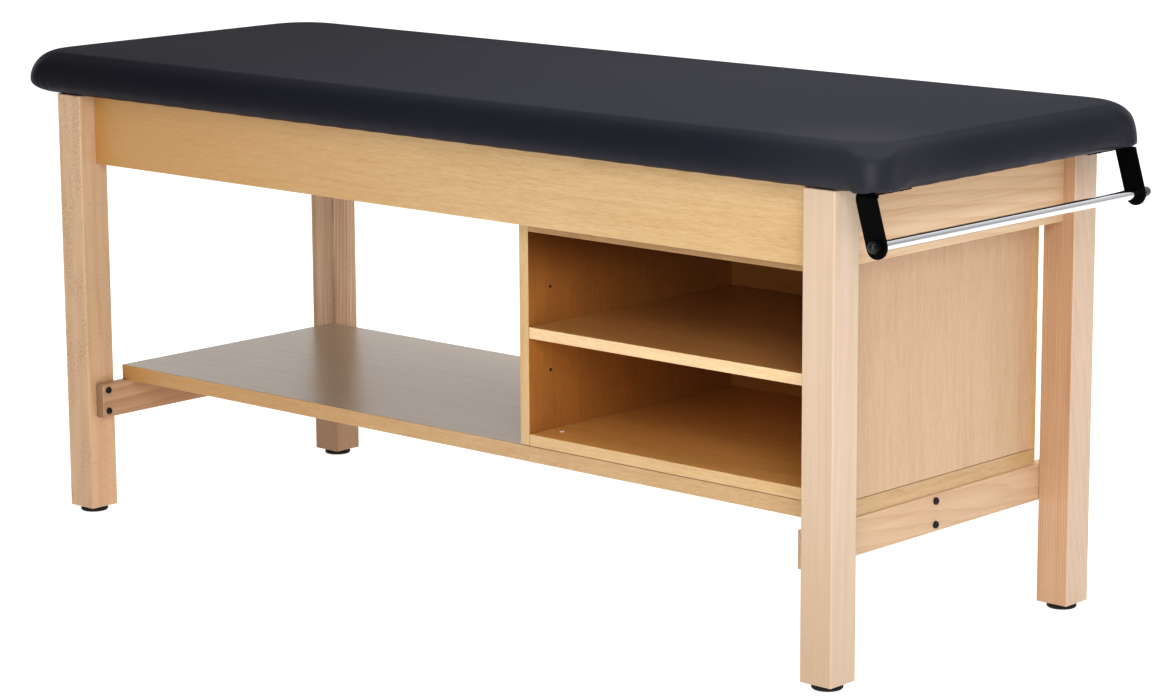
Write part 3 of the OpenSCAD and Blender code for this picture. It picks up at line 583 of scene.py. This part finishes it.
@dataclass(frozen=True)
class Plywood:
    """Birch plywood: a plain face veneer, and stripes of its layers on the edges."""

    light: Color = (0.60, 0.47, 0.31)
    dark: Color = (0.46, 0.32, 0.18)
    ply: float = 1.5 * MM
    depth: float = 0.00015

    def material(self, name: str) -> bpy.types.Material:
        """Builds the material.

        The layers are a wave of the height over the thickness of two plies, shown only
        on faces that look sideways.

        Args:
            name: The material's name.

        Returns:
            The new material.
        """
        tree = ShaderTree(bpy.data.materials.new(name))
        place = tree.axes()
        bands = tree.grain(place, 3.0, 40.0, 3.0, 0.6)
        fibre = tree.grain(place, 20.0, 700.0)
        layers = (place[Axis.Z.value] / (2.0 * self.ply)).part().step(0.45, 0.55)
        edge = tree.facing(Axis.Z).step(0.7, 0.4)
        color = tree.mix((bands * 0.8 + fibre * 0.6 - 0.3).step(0.0, 1.0), self.light, self.dark)
        color = tree.mix(edge * layers * 0.7, color, scaled(self.dark, 0.5))
        return tree.surface(
            Base_Color=color,
            Roughness=0.6 + fibre * 0.15,
            Normal=tree.bump(fibre, self.depth, 0.6),
            Specular_IOR_Level=0.3,
        )


def dress(nodes: Sequence[str], material: bpy.types.Material) -> None:
    """Gives CAD nodes their finish.

    Args:
        nodes: Names of the nodes.
        material: The finish of each of them.
    """
    for name in nodes:
        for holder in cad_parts[name].material_slots:
            holder.material = material


def grid_faces(rows: int, columns: int, wrap: bool) -> np.ndarray:
    """Quads between the rows of a grid of points.

    Point (i, j) has the number i * columns + j, and its quad joins it to the next column
    and the next row.

    Args:
        rows: Number of rows.
        columns: Points in each row.
        wrap: Whether the last column joins the first.

    Returns:
        An array of quads, one per line.
    """
    i, j = np.meshgrid(np.arange(rows - 1), np.arange(columns if wrap else columns - 1), indexing="ij")
    after = (j + 1) % columns
    corners = [i * columns + j, i * columns + after, (i + 1) * columns + after, (i + 1) * columns + j]
    return np.stack(corners, axis=-1).reshape(-1, 4)


def new_piece(name: str, points: np.ndarray, faces: np.ndarray) -> bpy.types.Object:
    """Makes a closed object from points and quads.

    Doubles are merged, open edges filled and faces turned outwards.

    Args:
        name: The piece's name.
        points: Corner positions, one per line, in metres.
        faces: Quads by corner number.

    Returns:
        The new object, at the origin.
    """
    mesh = bpy.data.meshes.new(name)
    mesh.vertices.add(len(points))
    mesh.vertices.foreach_set("co", np.ascontiguousarray(points, np.float32).ravel())
    mesh.loops.add(faces.size)
    mesh.loops.foreach_set("vertex_index", np.ascontiguousarray(faces, np.int32).ravel())
    mesh.polygons.add(len(faces))
    mesh.polygons.foreach_set("loop_start", np.arange(0, faces.size, 4, dtype=np.int32))
    mesh.update(calc_edges=True)
    work = bmesh.new()
    work.from_mesh(mesh)
    bmesh.ops.remove_doubles(work, verts=work.verts, dist=1e-6)
    open_edges = [edge for edge in work.edges if edge.is_boundary]
    if open_edges:
        bmesh.ops.holes_fill(work, edges=open_edges, sides=0)
    bmesh.ops.recalc_face_normals(work, faces=work.faces)
    work.to_mesh(mesh)
    work.free()
    mesh.polygons.foreach_set("use_smooth", np.ones(len(mesh.polygons), bool))
    piece = bpy.data.objects.new(name, mesh)
    bpy.context.scene.collection.objects.link(piece)
    return piece


def apply_modifiers(piece: bpy.types.Object) -> None:
    """Puts the result of a piece's modifiers into its mesh and removes them.

    Args:
        piece: The object, which gets a new mesh.
    """
    graph = bpy.context.evaluated_depsgraph_get()
    final = bpy.data.meshes.new_from_object(piece.evaluated_get(graph))
    piece.modifiers.clear()
    old = piece.data
    piece.data = final
    bpy.data.meshes.remove(old)


def vertex_rows(mesh: bpy.types.Mesh, what: str = "co") -> np.ndarray:
    """Reads one vector of each vertex of a mesh.

    Args:
        mesh: The mesh.
        what: The vector's name, "co" for positions or "normal".

    Returns:
        The vectors, one per line.
    """
    rows = np.empty(3 * len(mesh.vertices), np.float32)
    mesh.vertices.foreach_get(what, rows)
    return rows.reshape(-1, 3).astype(float)


def move_corners(mesh: bpy.types.Mesh, points: np.ndarray) -> None:
    """Puts a mesh's vertices at new positions."""
    mesh.vertices.foreach_set("co", points.astype(np.float32).ravel())
    mesh.update()


def rise(value: np.ndarray, low: float, high: float) -> np.ndarray:
    """A smooth step: 0 up to low, 1 from high, and 3 t^2 - 2 t^3 of the share between."""
    share = np.clip((value - low) / (high - low), 0.0, 1.0)
    return share * share * (3 - 2 * share)


@dataclass
class PaddedTop:
    """The upholstered top: vinyl over foam over a plywood board."""

    board: float = 18 * MM
    cover: float = 1.2 * MM
    gap: float = 0.3 * MM
    crown: float = 1.6 * MM
    edge_reach: float = 25 * MM
    tuck_reach: float = 19 * MM
    corner: float = 38 * MM
    face_corner: float = 78 * MM
    hem: float = 40 * MM
    edge_rings: int = 12
    tuck_rings: int = 7
    board_inset: float = 24 * MM
    pitch: float = 9 * MM
    crowding: float = 0.5
    slack: float = 0.3 * MM
    drop: float = 1.2 * MM
    swell_cap: float = 2.6 * MM
    swell_frames: int = 20
    pressure: float = 4.0
    pleats: int = 7
    pleat_depth: float = 1.3 * MM
    scallop_pitch: float = 58 * MM
    scallop_depth: float = 0.5 * MM
    lip_drop: float = 2.2 * MM
    lip_reach: float = 12 * MM
    lip_ease: float = 4 * MM
    lip_half: float = 42 * MM
    lip_fade: Span = (90 * MM, 45 * MM)
    squared: float = 0.7
    staple_pitch: float = 28 * MM
    staple_width: float = 11 * MM
    staple_wire: float = 0.9 * MM
    staple_inset: float = 30 * MM
    staple_skew: float = 0.12
    corner_staples: int = 16
    vinyl: Vinyl = field(default_factory=Vinyl)

    def __post_init__(self) -> None:
        """Works out the top's place and size from the frame.

        The face starts lower than the frame's by the crown and the drop, and the quads
        are counted from the middle to the end and to the side.
        """
        low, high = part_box("top_cover")
        self.middle = np.array([(low.x + high.x) / 2, (low.y + high.y) / 2, low.z])
        self.half_x = (high.x - low.x) / 2 - self.slack
        self.half_y = (high.y - low.y) / 2 - self.slack
        self.height = high.z - low.z - self.crown - self.drop
        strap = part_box("roll_bracket_front")
        self.strap_x = (strap[0].x + strap[1].x) / 2 - self.middle[0]
        self.quads_x = round((self.half_x - self.edge_reach) / self.pitch)
        self.quads_y = round((self.half_y - self.edge_reach) / self.pitch)

    def outline(self, i: np.ndarray, j: np.ndarray, inset: np.ndarray, radius: np.ndarray,
                ring: np.ndarray) -> tuple[np.ndarray, np.ndarray]:
        """Points on rounded rectangles, closer together at the corners.

        Along a side, the distance from its middle is a share of the half side plus an
        eighth of the corner circle. The share is the step's own, plus a sine that crowds
        the steps towards the corner. Within the straight part the point lies on the side,
        and past it on the circle at the angle that the rest of the distance spans.

        Args:
            i: Column counted from the middle, along X.
            j: Row counted from the middle, along Y.
            inset: Distance of each point's rectangle from the widest line.
            radius: Corner radius of each point's rectangle.
            ring: Number of grid steps of each point from the grid's edge.

        Returns:
            X and Y of each point from the top's middle.
        """
        half, wide = self.quads_x, self.quads_y
        reach_x = self.half_x - inset
        reach_y = self.half_y - inset
        on_end = (half - np.abs(i)) <= (wide - np.abs(j))
        count = np.where(on_end, wide - ring, half - ring)
        step = np.where(on_end, j, i)
        share = np.where(count > 0, step / np.maximum(count, 1), 0.0)
        share = share + self.crowding * np.sin(math.pi * share) / math.pi
        straight = np.where(on_end, reach_y, reach_x) - radius
        travel = share * (straight + radius * math.pi / 4)
        angle = np.clip((np.abs(travel) - straight) / np.maximum(radius, 1e-9), 0.0, math.pi / 4)
        run = np.where(np.abs(travel) <= straight, np.abs(travel), straight + radius * np.sin(angle))
        run = run * np.sign(travel)
        back = radius * (1 - np.cos(angle))
        x = np.where(on_end, np.sign(i) * (reach_x - back), run)
        y = np.where(on_end, run, np.sign(j) * (reach_y - back))
        return x, y

    def face_points(self) -> np.ndarray:
        """The crowned upper face as a grid.

        Each square ring of the grid becomes a rounded rectangle, an even step further in
        than the one before, whose corner radius shrinks by that step. The height rises by
        the crown times one less the square of the share of the way to the middle line.

        Returns:
            Points, row by row along X.
        """
        half, wide = self.quads_x, self.quads_y
        j, i = np.meshgrid(np.arange(-wide, wide + 1), np.arange(-half, half + 1))
        ring = np.minimum(half - np.abs(i), wide - np.abs(j))
        share = ring / wide
        inset = self.edge_reach + share * (self.half_y - self.edge_reach)
        radius = np.maximum(self.face_corner - (inset - self.edge_reach), 0.0)
        x, y = self.outline(i, j, inset, radius, ring)
        z = self.height + self.crown * (1 - (1 - share) ** 2)
        return np.stack([x, y, z], axis=-1).reshape(-1, 3)

    def wall_points(self) -> np.ndarray:
        """The rounded edge, the tuck, the hem and the pocket of the board, ring by ring.

        The edge is a quarter of an ellipse from the top face to the widest line, and the
        tuck a quarter circle from there to the underside. The corner radius in plan grows
        from the widest line towards both faces. The pocket's roof closes on the middle
        line, where its last ring folds flat.

        Returns:
            Points, ring by ring from the top face down.
        """
        half, wide = self.quads_x, self.quads_y
        climb = self.height - self.tuck_reach
        grow = self.face_corner - self.corner
        edge = np.linspace(math.pi / 2, 0, self.edge_rings)
        tuck = np.linspace(0, math.pi / 2, self.tuck_rings)[1:]
        hem_inset = self.tuck_reach + np.array([0.25, 0.5, 0.75, 1.0]) * self.hem
        pocket = self.board_inset - self.slack - 2 * self.gap
        lift = self.board + self.cover + 2 * self.gap
        roof = pocket + np.array([0.0, 0.2, 0.6, 1.0]) * (self.half_y - pocket)
        under = self.face_corner - self.hem * 0.5
        inset = np.concatenate([
            self.edge_reach * (1 - np.cos(edge)),
            self.tuck_reach * (1 - np.cos(tuck)),
            hem_inset, [hem_inset[-1], pocket], roof,
        ])
        z = np.concatenate([
            self.tuck_reach + climb * np.sin(edge),
            self.tuck_reach * (1 - np.sin(tuck)),
            np.zeros(4), [self.cover, self.cover], np.full(4, lift),
        ])
        radius = np.concatenate([
            self.corner + grow * (1 - np.cos(edge)),
            self.corner + grow * (1 - np.cos(tuck)),
            self.face_corner - (hem_inset - self.tuck_reach) * 0.5,
            [under, under], np.maximum(under - (roof - pocket), 0.0),
        ])
        across = np.arange(-half, half)
        along = np.arange(-wide, wide)
        i = np.concatenate([across, np.full(2 * wide, half), -across, np.full(2 * wide, -half)])
        j = np.concatenate([np.full(2 * half, -wide), along, np.full(2 * half, wide), -along])
        inset_grid, i_grid = np.meshgrid(inset, i, indexing="ij")
        radius_grid, j_grid = np.meshgrid(radius, j, indexing="ij")
        z_grid = np.repeat(z, len(i))
        x, y = self.outline(i_grid, j_grid, inset_grid, radius_grid, np.zeros_like(i_grid))
        return np.stack([x.ravel(), y.ravel(), z_grid], axis=-1)

    def swell(self, pad: bpy.types.Object) -> None:
        """Lets the cover swell over its foam by a short cloth simulation.

        The underside and the pocket are held. All moves are scaled by one factor, so that
        the longest is no longer than the cap.

        Args:
            pad: The piece, which keeps the result in its mesh.
        """
        start = vertex_rows(pad.data)
        local = start - self.middle
        inside = (np.abs(local[:, 0]) < self.half_x - self.tuck_reach)
        inside &= (np.abs(local[:, 1]) < self.half_y - self.tuck_reach)
        held = (local[:, 2] < 0.5 * self.tuck_reach) | (inside & (local[:, 2] < 0.5 * self.height))
        group = pad.vertex_groups.new(name="held")
        group.add(np.flatnonzero(held).tolist(), 1.0, "REPLACE")
        cloth = pad.modifiers.new("cover", "CLOTH")
        settings = {
            "quality": 4, "mass": 0.4, "tension_stiffness": 25.0, "compression_stiffness": 25.0,
            "bending_stiffness": 2.0, "use_pressure": True, "uniform_pressure_force": self.pressure,
            "vertex_group_mass": group.name,
        }
        for name, value in settings.items():
            setattr(cloth.settings, name, value)
        cloth.settings.effector_weights.gravity = 0.0
        cloth.collision_settings.use_collision = False
        cloth.point_cache.frame_start = 1
        cloth.point_cache.frame_end = self.swell_frames
        scene = bpy.context.scene
        for number in range(1, self.swell_frames + 1):
            scene.frame_set(number)
        apply_modifiers(pad)
        pad.vertex_groups.clear()
        scene.frame_set(1)
        move = vertex_rows(pad.data) - start
        longest = float(np.linalg.norm(move, axis=1).max())
        share = min(1.0, self.swell_cap / max(longest, MM))
        move_corners(pad.data, start + share * move)
        LOG.info("cover moved by %.1f mm, kept %.2f of it", 1000 * longest, share)

    def fold(self, pad: bpy.types.Object) -> None:
        """Works pleats, scallops and the lips over the straps into the lower edge.

        A pleat is a valley round each corner, where the cosine of the corner's angle
        times the number of pleats nears one, and its depth fades in a bell over the
        corner and with height. Between the corners, a shallow wave follows the staples.
        Over each strap, a bell along the side squares the tuck: its heights shrink by
        the squared share, the wall above stretches after them, and the outer part drops
        a little further.

        Args:
            pad: The piece, whose mesh is changed.
        """
        points = vertex_rows(pad.data)
        local = points - self.middle
        x, y, z = local.T
        from_x = np.abs(x) - (self.half_x - self.face_corner)
        from_y = np.abs(y) - (self.half_y - self.face_corner)
        angle = np.arctan2(np.maximum(from_y, 0.0), np.maximum(from_x, 1e-6))
        over = np.sin(2 * angle) * (from_x > 0) * (from_y > 0)
        low = 1 - rise(z, 0.4 * self.tuck_reach, 1.5 * self.tuck_reach)
        lean = 1 + 0.15 * np.sin(9 * angle + 2 * np.sign(x) + np.sign(y))
        valley = (0.5 + 0.5 * np.cos(4 * self.pleats * angle * lean)) ** 3
        depth = self.pleat_depth * np.sqrt(np.clip(over, 0.0, 1.0)) * valley * low
        inset = np.minimum(self.half_x - np.abs(x), self.half_y - np.abs(y))
        shown = rise(inset, -1.0, self.tuck_reach) * 0.4 + 0.6
        outer = rise(-inset, -(self.tuck_reach + self.hem), -self.tuck_reach)
        run = np.where(np.abs(x) > self.half_x - self.tuck_reach, y, x)
        wave = 0.5 + 0.5 * np.cos(2 * math.pi * run / self.scallop_pitch + 1.3 * np.sin(7 * run))
        depth = (depth + self.scallop_depth * wave * (1 - np.clip(over, 0.0, 1.0)) * low) * shown * outer
        points = points - depth[:, None] * vertex_rows(pad.data, "normal")
        bell = 1 - rise(np.abs(x - self.strap_x), 0.45 * self.lip_half, self.lip_half)
        bell = bell * rise(np.abs(y), *(self.half_y - fade for fade in self.lip_fade))
        shrink = np.minimum(z, self.tuck_reach) * (1 - rise(z, self.tuck_reach, 2.6 * self.tuck_reach))
        side_inset = self.half_y - np.abs(y)
        lip = self.lip_drop * (1 - rise(side_inset, self.lip_reach - self.lip_ease, self.lip_reach))
        lip = lip * (1 - rise(z, 0.3 * self.tuck_reach, 1.4 * self.tuck_reach))
        tucked = self.squared * np.maximum(shrink, 0.0) * (inset < self.tuck_reach)
        points[:, 2] -= bell * (tucked + lip)
        move_corners(pad.data, points)

    def staples(self) -> bpy.types.Object:
        """The row of staples that holds the hem to the board, as flat wires.

        The row follows a rounded rectangle, and each staple's back is a thin block that
        lies along it, with its long edges bevelled.

        Returns:
            The new piece.
        """
        reach_x, reach_y = (half - self.staple_inset for half in (self.half_x, self.half_y))
        straights = (reach_x - self.face_corner, reach_y - self.face_corner)
        count_x, count_y = (int(2 * way / self.staple_pitch) for way in straights)
        run_x, run_y = (np.linspace(-way, way, n) for way, n in zip(straights, (count_x, count_y)))
        turns = np.linspace(0.0, 2 * math.pi, self.corner_staples, endpoint=False)
        turns = turns + math.pi / self.corner_staples
        arc_x, arc_y = (np.sign(part) * way + self.face_corner * part
                        for part, way in zip((np.cos(turns), np.sin(turns)), straights))
        x = np.concatenate([run_x, run_x, np.full(count_y, reach_x), np.full(count_y, -reach_x), arc_x])
        y = np.concatenate([np.full(count_x, reach_y), np.full(count_x, -reach_y), run_y, run_y, arc_y])
        quarter = math.pi / 2
        angle = np.concatenate([np.zeros(2 * count_x), np.full(2 * count_y, quarter), turns + quarter])
        angle = angle + self.staple_skew * np.sin(17 * x + 29 * y)
        corner = np.array([[-1, -1, 0], [1, -1, 0], [1, 1, 0], [-1, 1, 0],
                           [-1, -1, -1], [1, -1, -1], [1, 1, -1], [-1, 1, -1]], float)
        block = corner * np.array([self.staple_width / 2, self.staple_wire / 2, self.staple_wire / 2])
        cos, sin = np.cos(angle)[:, None], np.sin(angle)[:, None]
        place_x = x[:, None] + block[:, 0] * cos - block[:, 1] * sin
        place_y = y[:, None] + block[:, 0] * sin + block[:, 1] * cos
        place_z = np.broadcast_to(block[:, 2], place_x.shape)
        points = np.stack([place_x, place_y, place_z], axis=-1).reshape(-1, 3) + self.middle
        sides = np.array([[0, 1, 2, 3], [4, 7, 6, 5], [0, 4, 5, 1],
                          [1, 5, 6, 2], [2, 6, 7, 3], [3, 7, 4, 0]])
        faces = (sides[None] + 8 * np.arange(len(x))[:, None, None]).reshape(-1, 4)
        piece = new_piece("hem_staples", points, faces)
        bevel = piece.modifiers.new("round", "BEVEL")
        bevel.width = 0.25 * self.staple_wire
        bevel.segments = 2
        apply_modifiers(piece)
        return piece

    def build(self) -> None:
        """Builds the padded top and its staples, and dresses the board."""
        face = self.face_points()
        wall = self.wall_points()
        ring = 4 * (self.quads_x + self.quads_y)
        faces = np.concatenate([
            grid_faces(2 * self.quads_x + 1, 2 * self.quads_y + 1, False),
            grid_faces(len(wall) // ring, ring, True) + len(face),
        ])
        pad = new_piece("top_pad", np.concatenate([face, wall]) + self.middle, faces)
        self.swell(pad)
        smooth = pad.modifiers.new("smooth", "SUBSURF")
        smooth.levels = smooth.render_levels = 1
        apply_modifiers(pad)
        self.fold(pad)
        pad.data.materials.append(self.vinyl.material("charcoal_vinyl"))
        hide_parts("top_cover", "top_foam")
        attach(pad, "root")
        LOG.info("padded top: %d faces", len(pad.data.polygons))
        staples = self.staples()
        staples.data.materials.append(Coating(ZINC_TONE, 0.3, metal=1.0).material("staple_wire"))
        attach(staples, "root")
        LOG.info("hem staples: %d faces", len(staples.data.polygons))
        dress(["top_board"], Plywood().material("birch_plywood"))


@dataclass
class BeechFrame:
    """Legs, aprons, rails and the pieces that join them."""

    def build(self) -> None:
        """Dresses every piece of the frame."""
        rose, rose_dark = (0.57, 0.37, 0.235), (0.41, 0.225, 0.12)
        straw, straw_dark = (0.60, 0.47, 0.35), (0.51, 0.36, 0.24)
        # painted shade: a darker copy of the beech for the rear left leg
        shade, shade_dark = (0.72, 0.51, 0.34), (0.36, 0.225, 0.135)
        finishes = {
            "leg_front_left": SolidBeech(Axis.Z, Axis.Y, flecks=0.9, seed=1.3),
            # the pale share is painted light on the side faces, the foot share painted shade
            "leg_front_right": SolidBeech(
                Axis.Z, Axis.X, straw, straw_dark, flecks=0.12, waves=0.1, pale=0.25, foot=0.2, seed=4.1),
            # painted shade: a darker copy of the beech, and a darker foot
            "leg_rear_left": SolidBeech(
                Axis.Z, Axis.X, shade, shade_dark, flecks=0.4, foot=0.6, seed=7.9),
            # the pale share is painted light on the side faces
            "leg_rear_right": SolidBeech(
                Axis.Z, Axis.X, rose, rose_dark, lean=0.05, flecks=0.25, waves=0.5, pale=0.5, seed=9.2),
            "apron_left": SolidBeech(Axis.Y, Axis.X, flecks=0.1, seed=2.4),
            # paler beech, painted light where the top's overhang shades the end apron
            "apron_right": SolidBeech(
                Axis.Y, Axis.X, (0.78, 0.59, 0.41), (0.60, 0.37, 0.20), lean=0.06, ring=0.011,
                flecks=0.0, waves=0.25, seed=5.5),
            # darker beech, painted shade under the lower shelf
            "cross_rail_left": SolidBeech(
                Axis.Y, Axis.X, (0.50, 0.325, 0.205), (0.36, 0.20, 0.105), ring=0.008, flecks=0.1,
                seed=3.3),
            "cross_rail_right": SolidBeech(Axis.Y, Axis.X, flecks=0.15, waves=0.5, seed=6.6),
        }
        for name, finish in finishes.items():
            dress([name], finish.material("beech_" + name))
        inner = ["center_stretcher", "apron_dowels"]
        dress(inner, SolidBeech(Axis.X, Axis.Y, seed=8.8).material("beech_inner"))
        dress(["corner_blocks"], SolidBeech(Axis.Z, Axis.X, seed=1.8).material("beech_blocks"))
        dress(["top_bearers"], SolidBeech(Axis.Y, Axis.Z, seed=2.9).material("beech_bearers"))
        LOG.info("beech frame: %d finishes", len(finishes))


def board_edge(name: str, axis: Axis, end: int) -> tuple[Axis, float]:
    """The plane at a board's low (0) or high (1) end along an axis."""
    return axis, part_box(name)[end][axis.value]


def bore_span(name: str, margin: float = 2 * MM) -> Span:
    """The part of a board's depth, from front to back, that holds only bores and grooves."""
    low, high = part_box(name)
    return low.y + margin, high.y - margin


@dataclass
class ShelfAndCabinet:
    """Long aprons, lower shelf and cabinet in laminated board."""

    def build(self) -> None:
        """Dresses every laminated board, each with its own stretch of the print."""
        # painted shade tone for the top of the cabinet's bottom
        along_x, painted_shade_shelf = Axis.X, (0.70, 0.385, 0.13)
        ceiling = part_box("cabinet_top")[0].z
        boards = {
            # painted shade towards the left end
            "apron_front": BeechLaminate(along_x, Axis.Z, seed=0.0, painted_end_shade=0.8),
            "apron_rear": BeechLaminate(along_x, Axis.Z, seed=1.7),
            # the grey inner tone of the top is a painted reflection over painted shade
            "lower_shelf": BeechLaminate(
                along_x, Axis.Y, light=(0.57, 0.38, 0.20), dark=(0.46, 0.275, 0.12), seed=3.4,
                inner=(0.33, 0.25, 0.18), painted_shade_side=1.0, inner_gloss=0.26, painted_end_shade=0.7),
            # darker tone, painted shade under the apron; the underside gets the inner painted shade
            "cabinet_top": BeechLaminate(
                along_x, Axis.Y, light=(0.50, 0.30, 0.13), dark=(0.38, 0.21, 0.08), seed=5.1,
                painted_shade_side=-1.0, seams=(board_edge("cabinet_top", Axis.Z, 1),)),
            # its top takes the painted shade tone
            "cabinet_bottom": BeechLaminate(
                along_x, Axis.Y, seed=6.8, inner=painted_shade_shelf, painted_shade_side=1.0,
                seams=(board_edge("cabinet_bottom", Axis.Z, 0), board_edge("cabinet_bottom", Axis.X, 0))),
            # paler tone, painted light on the front edge; the top gets the inner painted shade
            "cabinet_shelf": BeechLaminate(
                along_x, Axis.Y, light=(0.84, 0.62, 0.37), dark=(0.72, 0.48, 0.24), seed=8.5,
                inner=(0.64, 0.35, 0.13), painted_shade_side=1.0),
            # inner painted shade, and painted shade just below the ceiling
            "cabinet_back": BeechLaminate(
                along_x, Axis.Z, seed=9.1, inner=(0.55, 0.25, 0.07), inner_axis=Axis.Y,
                painted_shade_side=-1.0, ceiling=ceiling),
            # inner painted shade, painted shade below the ceiling and in the bores
            "cabinet_side_left": BeechLaminate(
                Axis.Z, Axis.Y, seed=0.4, inner_axis=along_x, painted_shade_side=1.0,
                bores=bore_span("cabinet_side_left"), ceiling=ceiling,
                seams=(board_edge("cabinet_side_left", Axis.Z, 0),)),
            "cabinet_side_right": BeechLaminate(
                Axis.Z, Axis.Y, light=(0.61, 0.42, 0.27), dark=(0.52, 0.325, 0.19), seed=2.7,
                inner_axis=along_x, painted_shade_side=-1.0, bores=bore_span("cabinet_side_right"),
                ceiling=ceiling, seams=(board_edge("cabinet_side_right", Axis.Z, 0),)),
        }
        for name, finish in boards.items():
            dress([name], finish.material("laminate_" + name))
        dress(["cabinet_dowels"], SolidBeech(Axis.X, Axis.Y, seed=4.8).material("beech_cabinet_dowels"))
        cap = Coating((0.93, 0.92, 0.90), 0.35)
        dress(["cabinet_screw_caps"], cap.material("white_cap"))
        LOG.info("shelf and cabinet: %d boards", len(boards))


@dataclass
class Hardware:
    """Bolts, screws, the paper roll holder and the feet."""

    def build(self) -> None:
        """Dresses the metal and plastic pieces."""
        screws = ["top_screws", "shelf_screws", "cabinet_screws", "back_screws", "corner_bolts",
                  "barrel_nuts", "foot_inserts", "shelf_pins"]
        coated = {
            "black_powder_coat": (
                Coating((0.0015, 0.0015, 0.002), 0.4, specular=0.05),
                ["roll_bracket_front", "roll_bracket_rear"]),
            "black_oxide": (
                Coating((0.006, 0.006, 0.007), 0.34, specular=0.3),
                ["rail_bolts", "stretcher_bolts", "bracket_screws"]),
            "polished_steel": (
                Coating((0.70, 0.71, 0.73), 0.07, metal=1.0, depth=0.000005, vary=0.02),
                ["paper_rod"]),
            "bright_zinc": (
                Coating(ZINC_TONE, 0.32, metal=1.0),
                screws + [f"foot_stem_{corner}" for corner in CORNERS]),
            "brass": (Coating((0.70, 0.50, 0.22), 0.3, metal=1.0), ["rail_inserts"]),
            "black_knob_plastic": (
                Coating((0.007, 0.007, 0.008), 0.32, specular=0.35), ["rod_cap_nut", "rod_knob"]),
            "black_foot_plastic": (
                Coating((0.014, 0.014, 0.015), 0.6, specular=0.3),
                [f"foot_pad_{corner}" for corner in CORNERS]),
        }
        for name, (coating, nodes) in coated.items():
            dress(nodes, coating.material(name))
        LOG.info("hardware: %d finishes", len(coated))


@dataclass(frozen=True)
class Softbox:
    """A square soft light that stands at a place and faces a point."""

    name: str
    place: Point
    aim: Point
    size: float
    power: float

    def build(self) -> None:
        """Adds the light to the scene."""
        data = bpy.data.lights.new(self.name, "AREA")
        data.shape = "SQUARE"
        data.size = self.size
        data.energy = self.power
        light = bpy.data.objects.new(self.name, data)
        light.visible_camera = False
        aimed = (Vector(self.aim) - Vector(self.place)).to_track_quat("-Z", "Y").to_matrix().to_4x4()
        light.matrix_world = Matrix.Translation(self.place) @ aimed
        bpy.context.scene.collection.objects.link(light)


@dataclass
class Studio:
    """Pale floor, soft lights and the photograph's viewpoint."""

    place: Point = (3.8169, -4.1090, 1.4629)
    yaw: float = 42.463
    pitch: float = -11.323
    roll: float = -0.315
    lens: float = 109.63
    floor_half: float = 30.0
    floor_color: Color = (0.45, 0.45, 0.45)
    floor_glow: float = 0.7
    room_dim: float = 0.12
    room_bright: float = 1.0
    lights: tuple[Softbox, ...] = (
        Softbox("key", (3.1, -2.8, 2.4), (0.4, 0.0, 0.45), 1.9, 72.0),
        Softbox("fill", (2.1, -2.3, 0.9), (0.6, 0.0, 0.5), 1.0, 13.0),
        Softbox("overhead", (0.6, 0.5, 4.2), (0.2, 0.0, 0.5), 4.5, 170.0),
    )

    def build(self) -> None:
        """Makes the camera, the floor, the world and the lights."""
        bpy.context.scene.view_settings.view_transform = "Standard"
        bpy.context.scene.view_settings.look = "Medium High Contrast"
        self.camera()
        self.floor()
        self.world()
        for light in self.lights:
            light.build()

    def camera(self) -> None:
        """Places the camera by its turn, tilt and roll."""
        turn, tilt, roll = (math.radians(a) for a in (self.yaw, self.pitch, self.roll))
        ahead = Vector((-math.sin(turn) * math.cos(tilt), math.cos(turn) * math.cos(tilt), math.sin(tilt)))
        right = Vector((math.cos(turn), math.sin(turn), 0.0))
        up = right.cross(ahead)
        right, up = (right * math.cos(roll) + up * math.sin(roll),
                     up * math.cos(roll) - right * math.sin(roll))
        data = bpy.data.cameras.new("photo_camera")
        data.lens = self.lens
        data.sensor_width = 36.0
        data.clip_start = 0.1
        data.clip_end = 200.0
        camera = bpy.data.objects.new("photo_camera", data)
        turned = Matrix((right, up, -ahead)).transposed().to_4x4()
        camera.matrix_world = Matrix.Translation(self.place) @ turned
        bpy.context.scene.collection.objects.link(camera)
        bpy.context.scene.camera = camera

    def floor(self) -> None:
        """Lays a large plain floor under the table."""
        half = self.floor_half
        corners = np.array([[-half, -half, 0], [half, -half, 0], [half, half, 0], [-half, half, 0]])
        floor = new_piece("floor", corners, np.array([[0, 1, 2, 3]]))
        tree = ShaderTree(bpy.data.materials.new("pale_floor"))
        floor.data.materials.append(tree.surface(
            Base_Color=self.floor_color,
            Roughness=0.9,
            Specular_IOR_Level=0.1,
            Emission_Color=(1.0, 1.0, 1.0),
            Emission_Strength=self.floor_glow,
        ))

    def world(self) -> None:
        """Lights the room in white, brightly behind the table and dimly in front of it.

        The strength rises smoothly with the part of a direction that points away from
        the viewer over the floor.
        """
        tree = ShaderTree(bpy.data.worlds.new("white_room"))
        way = tree.split("Generated")
        turn = math.radians(self.yaw)
        away = way.other("Y") * math.cos(turn) - way * math.sin(turn)
        strength = away.step(-0.2, 0.7) * (self.room_bright - self.room_dim) + self.room_dim
        glow = tree.add("ShaderNodeBackground", {}, {"Color": (1.0, 1.0, 1.0), "Strength": strength})
        tree.add("ShaderNodeOutputWorld", {}, {"Surface": glow}, None)
        bpy.context.scene.world = tree.holder


def main() -> None:
    """Builds the studio and every sub-assembly in order."""
    logging.basicConfig(level=logging.INFO, format="%(name)s: %(message)s")
    for part in (Studio(), PaddedTop(), BeechFrame(), ShelfAndCabinet(), Hardware()):
        part.build()
        LOG.info("built %s", type(part).__name__)


if __name__ == "__main__":
    main()
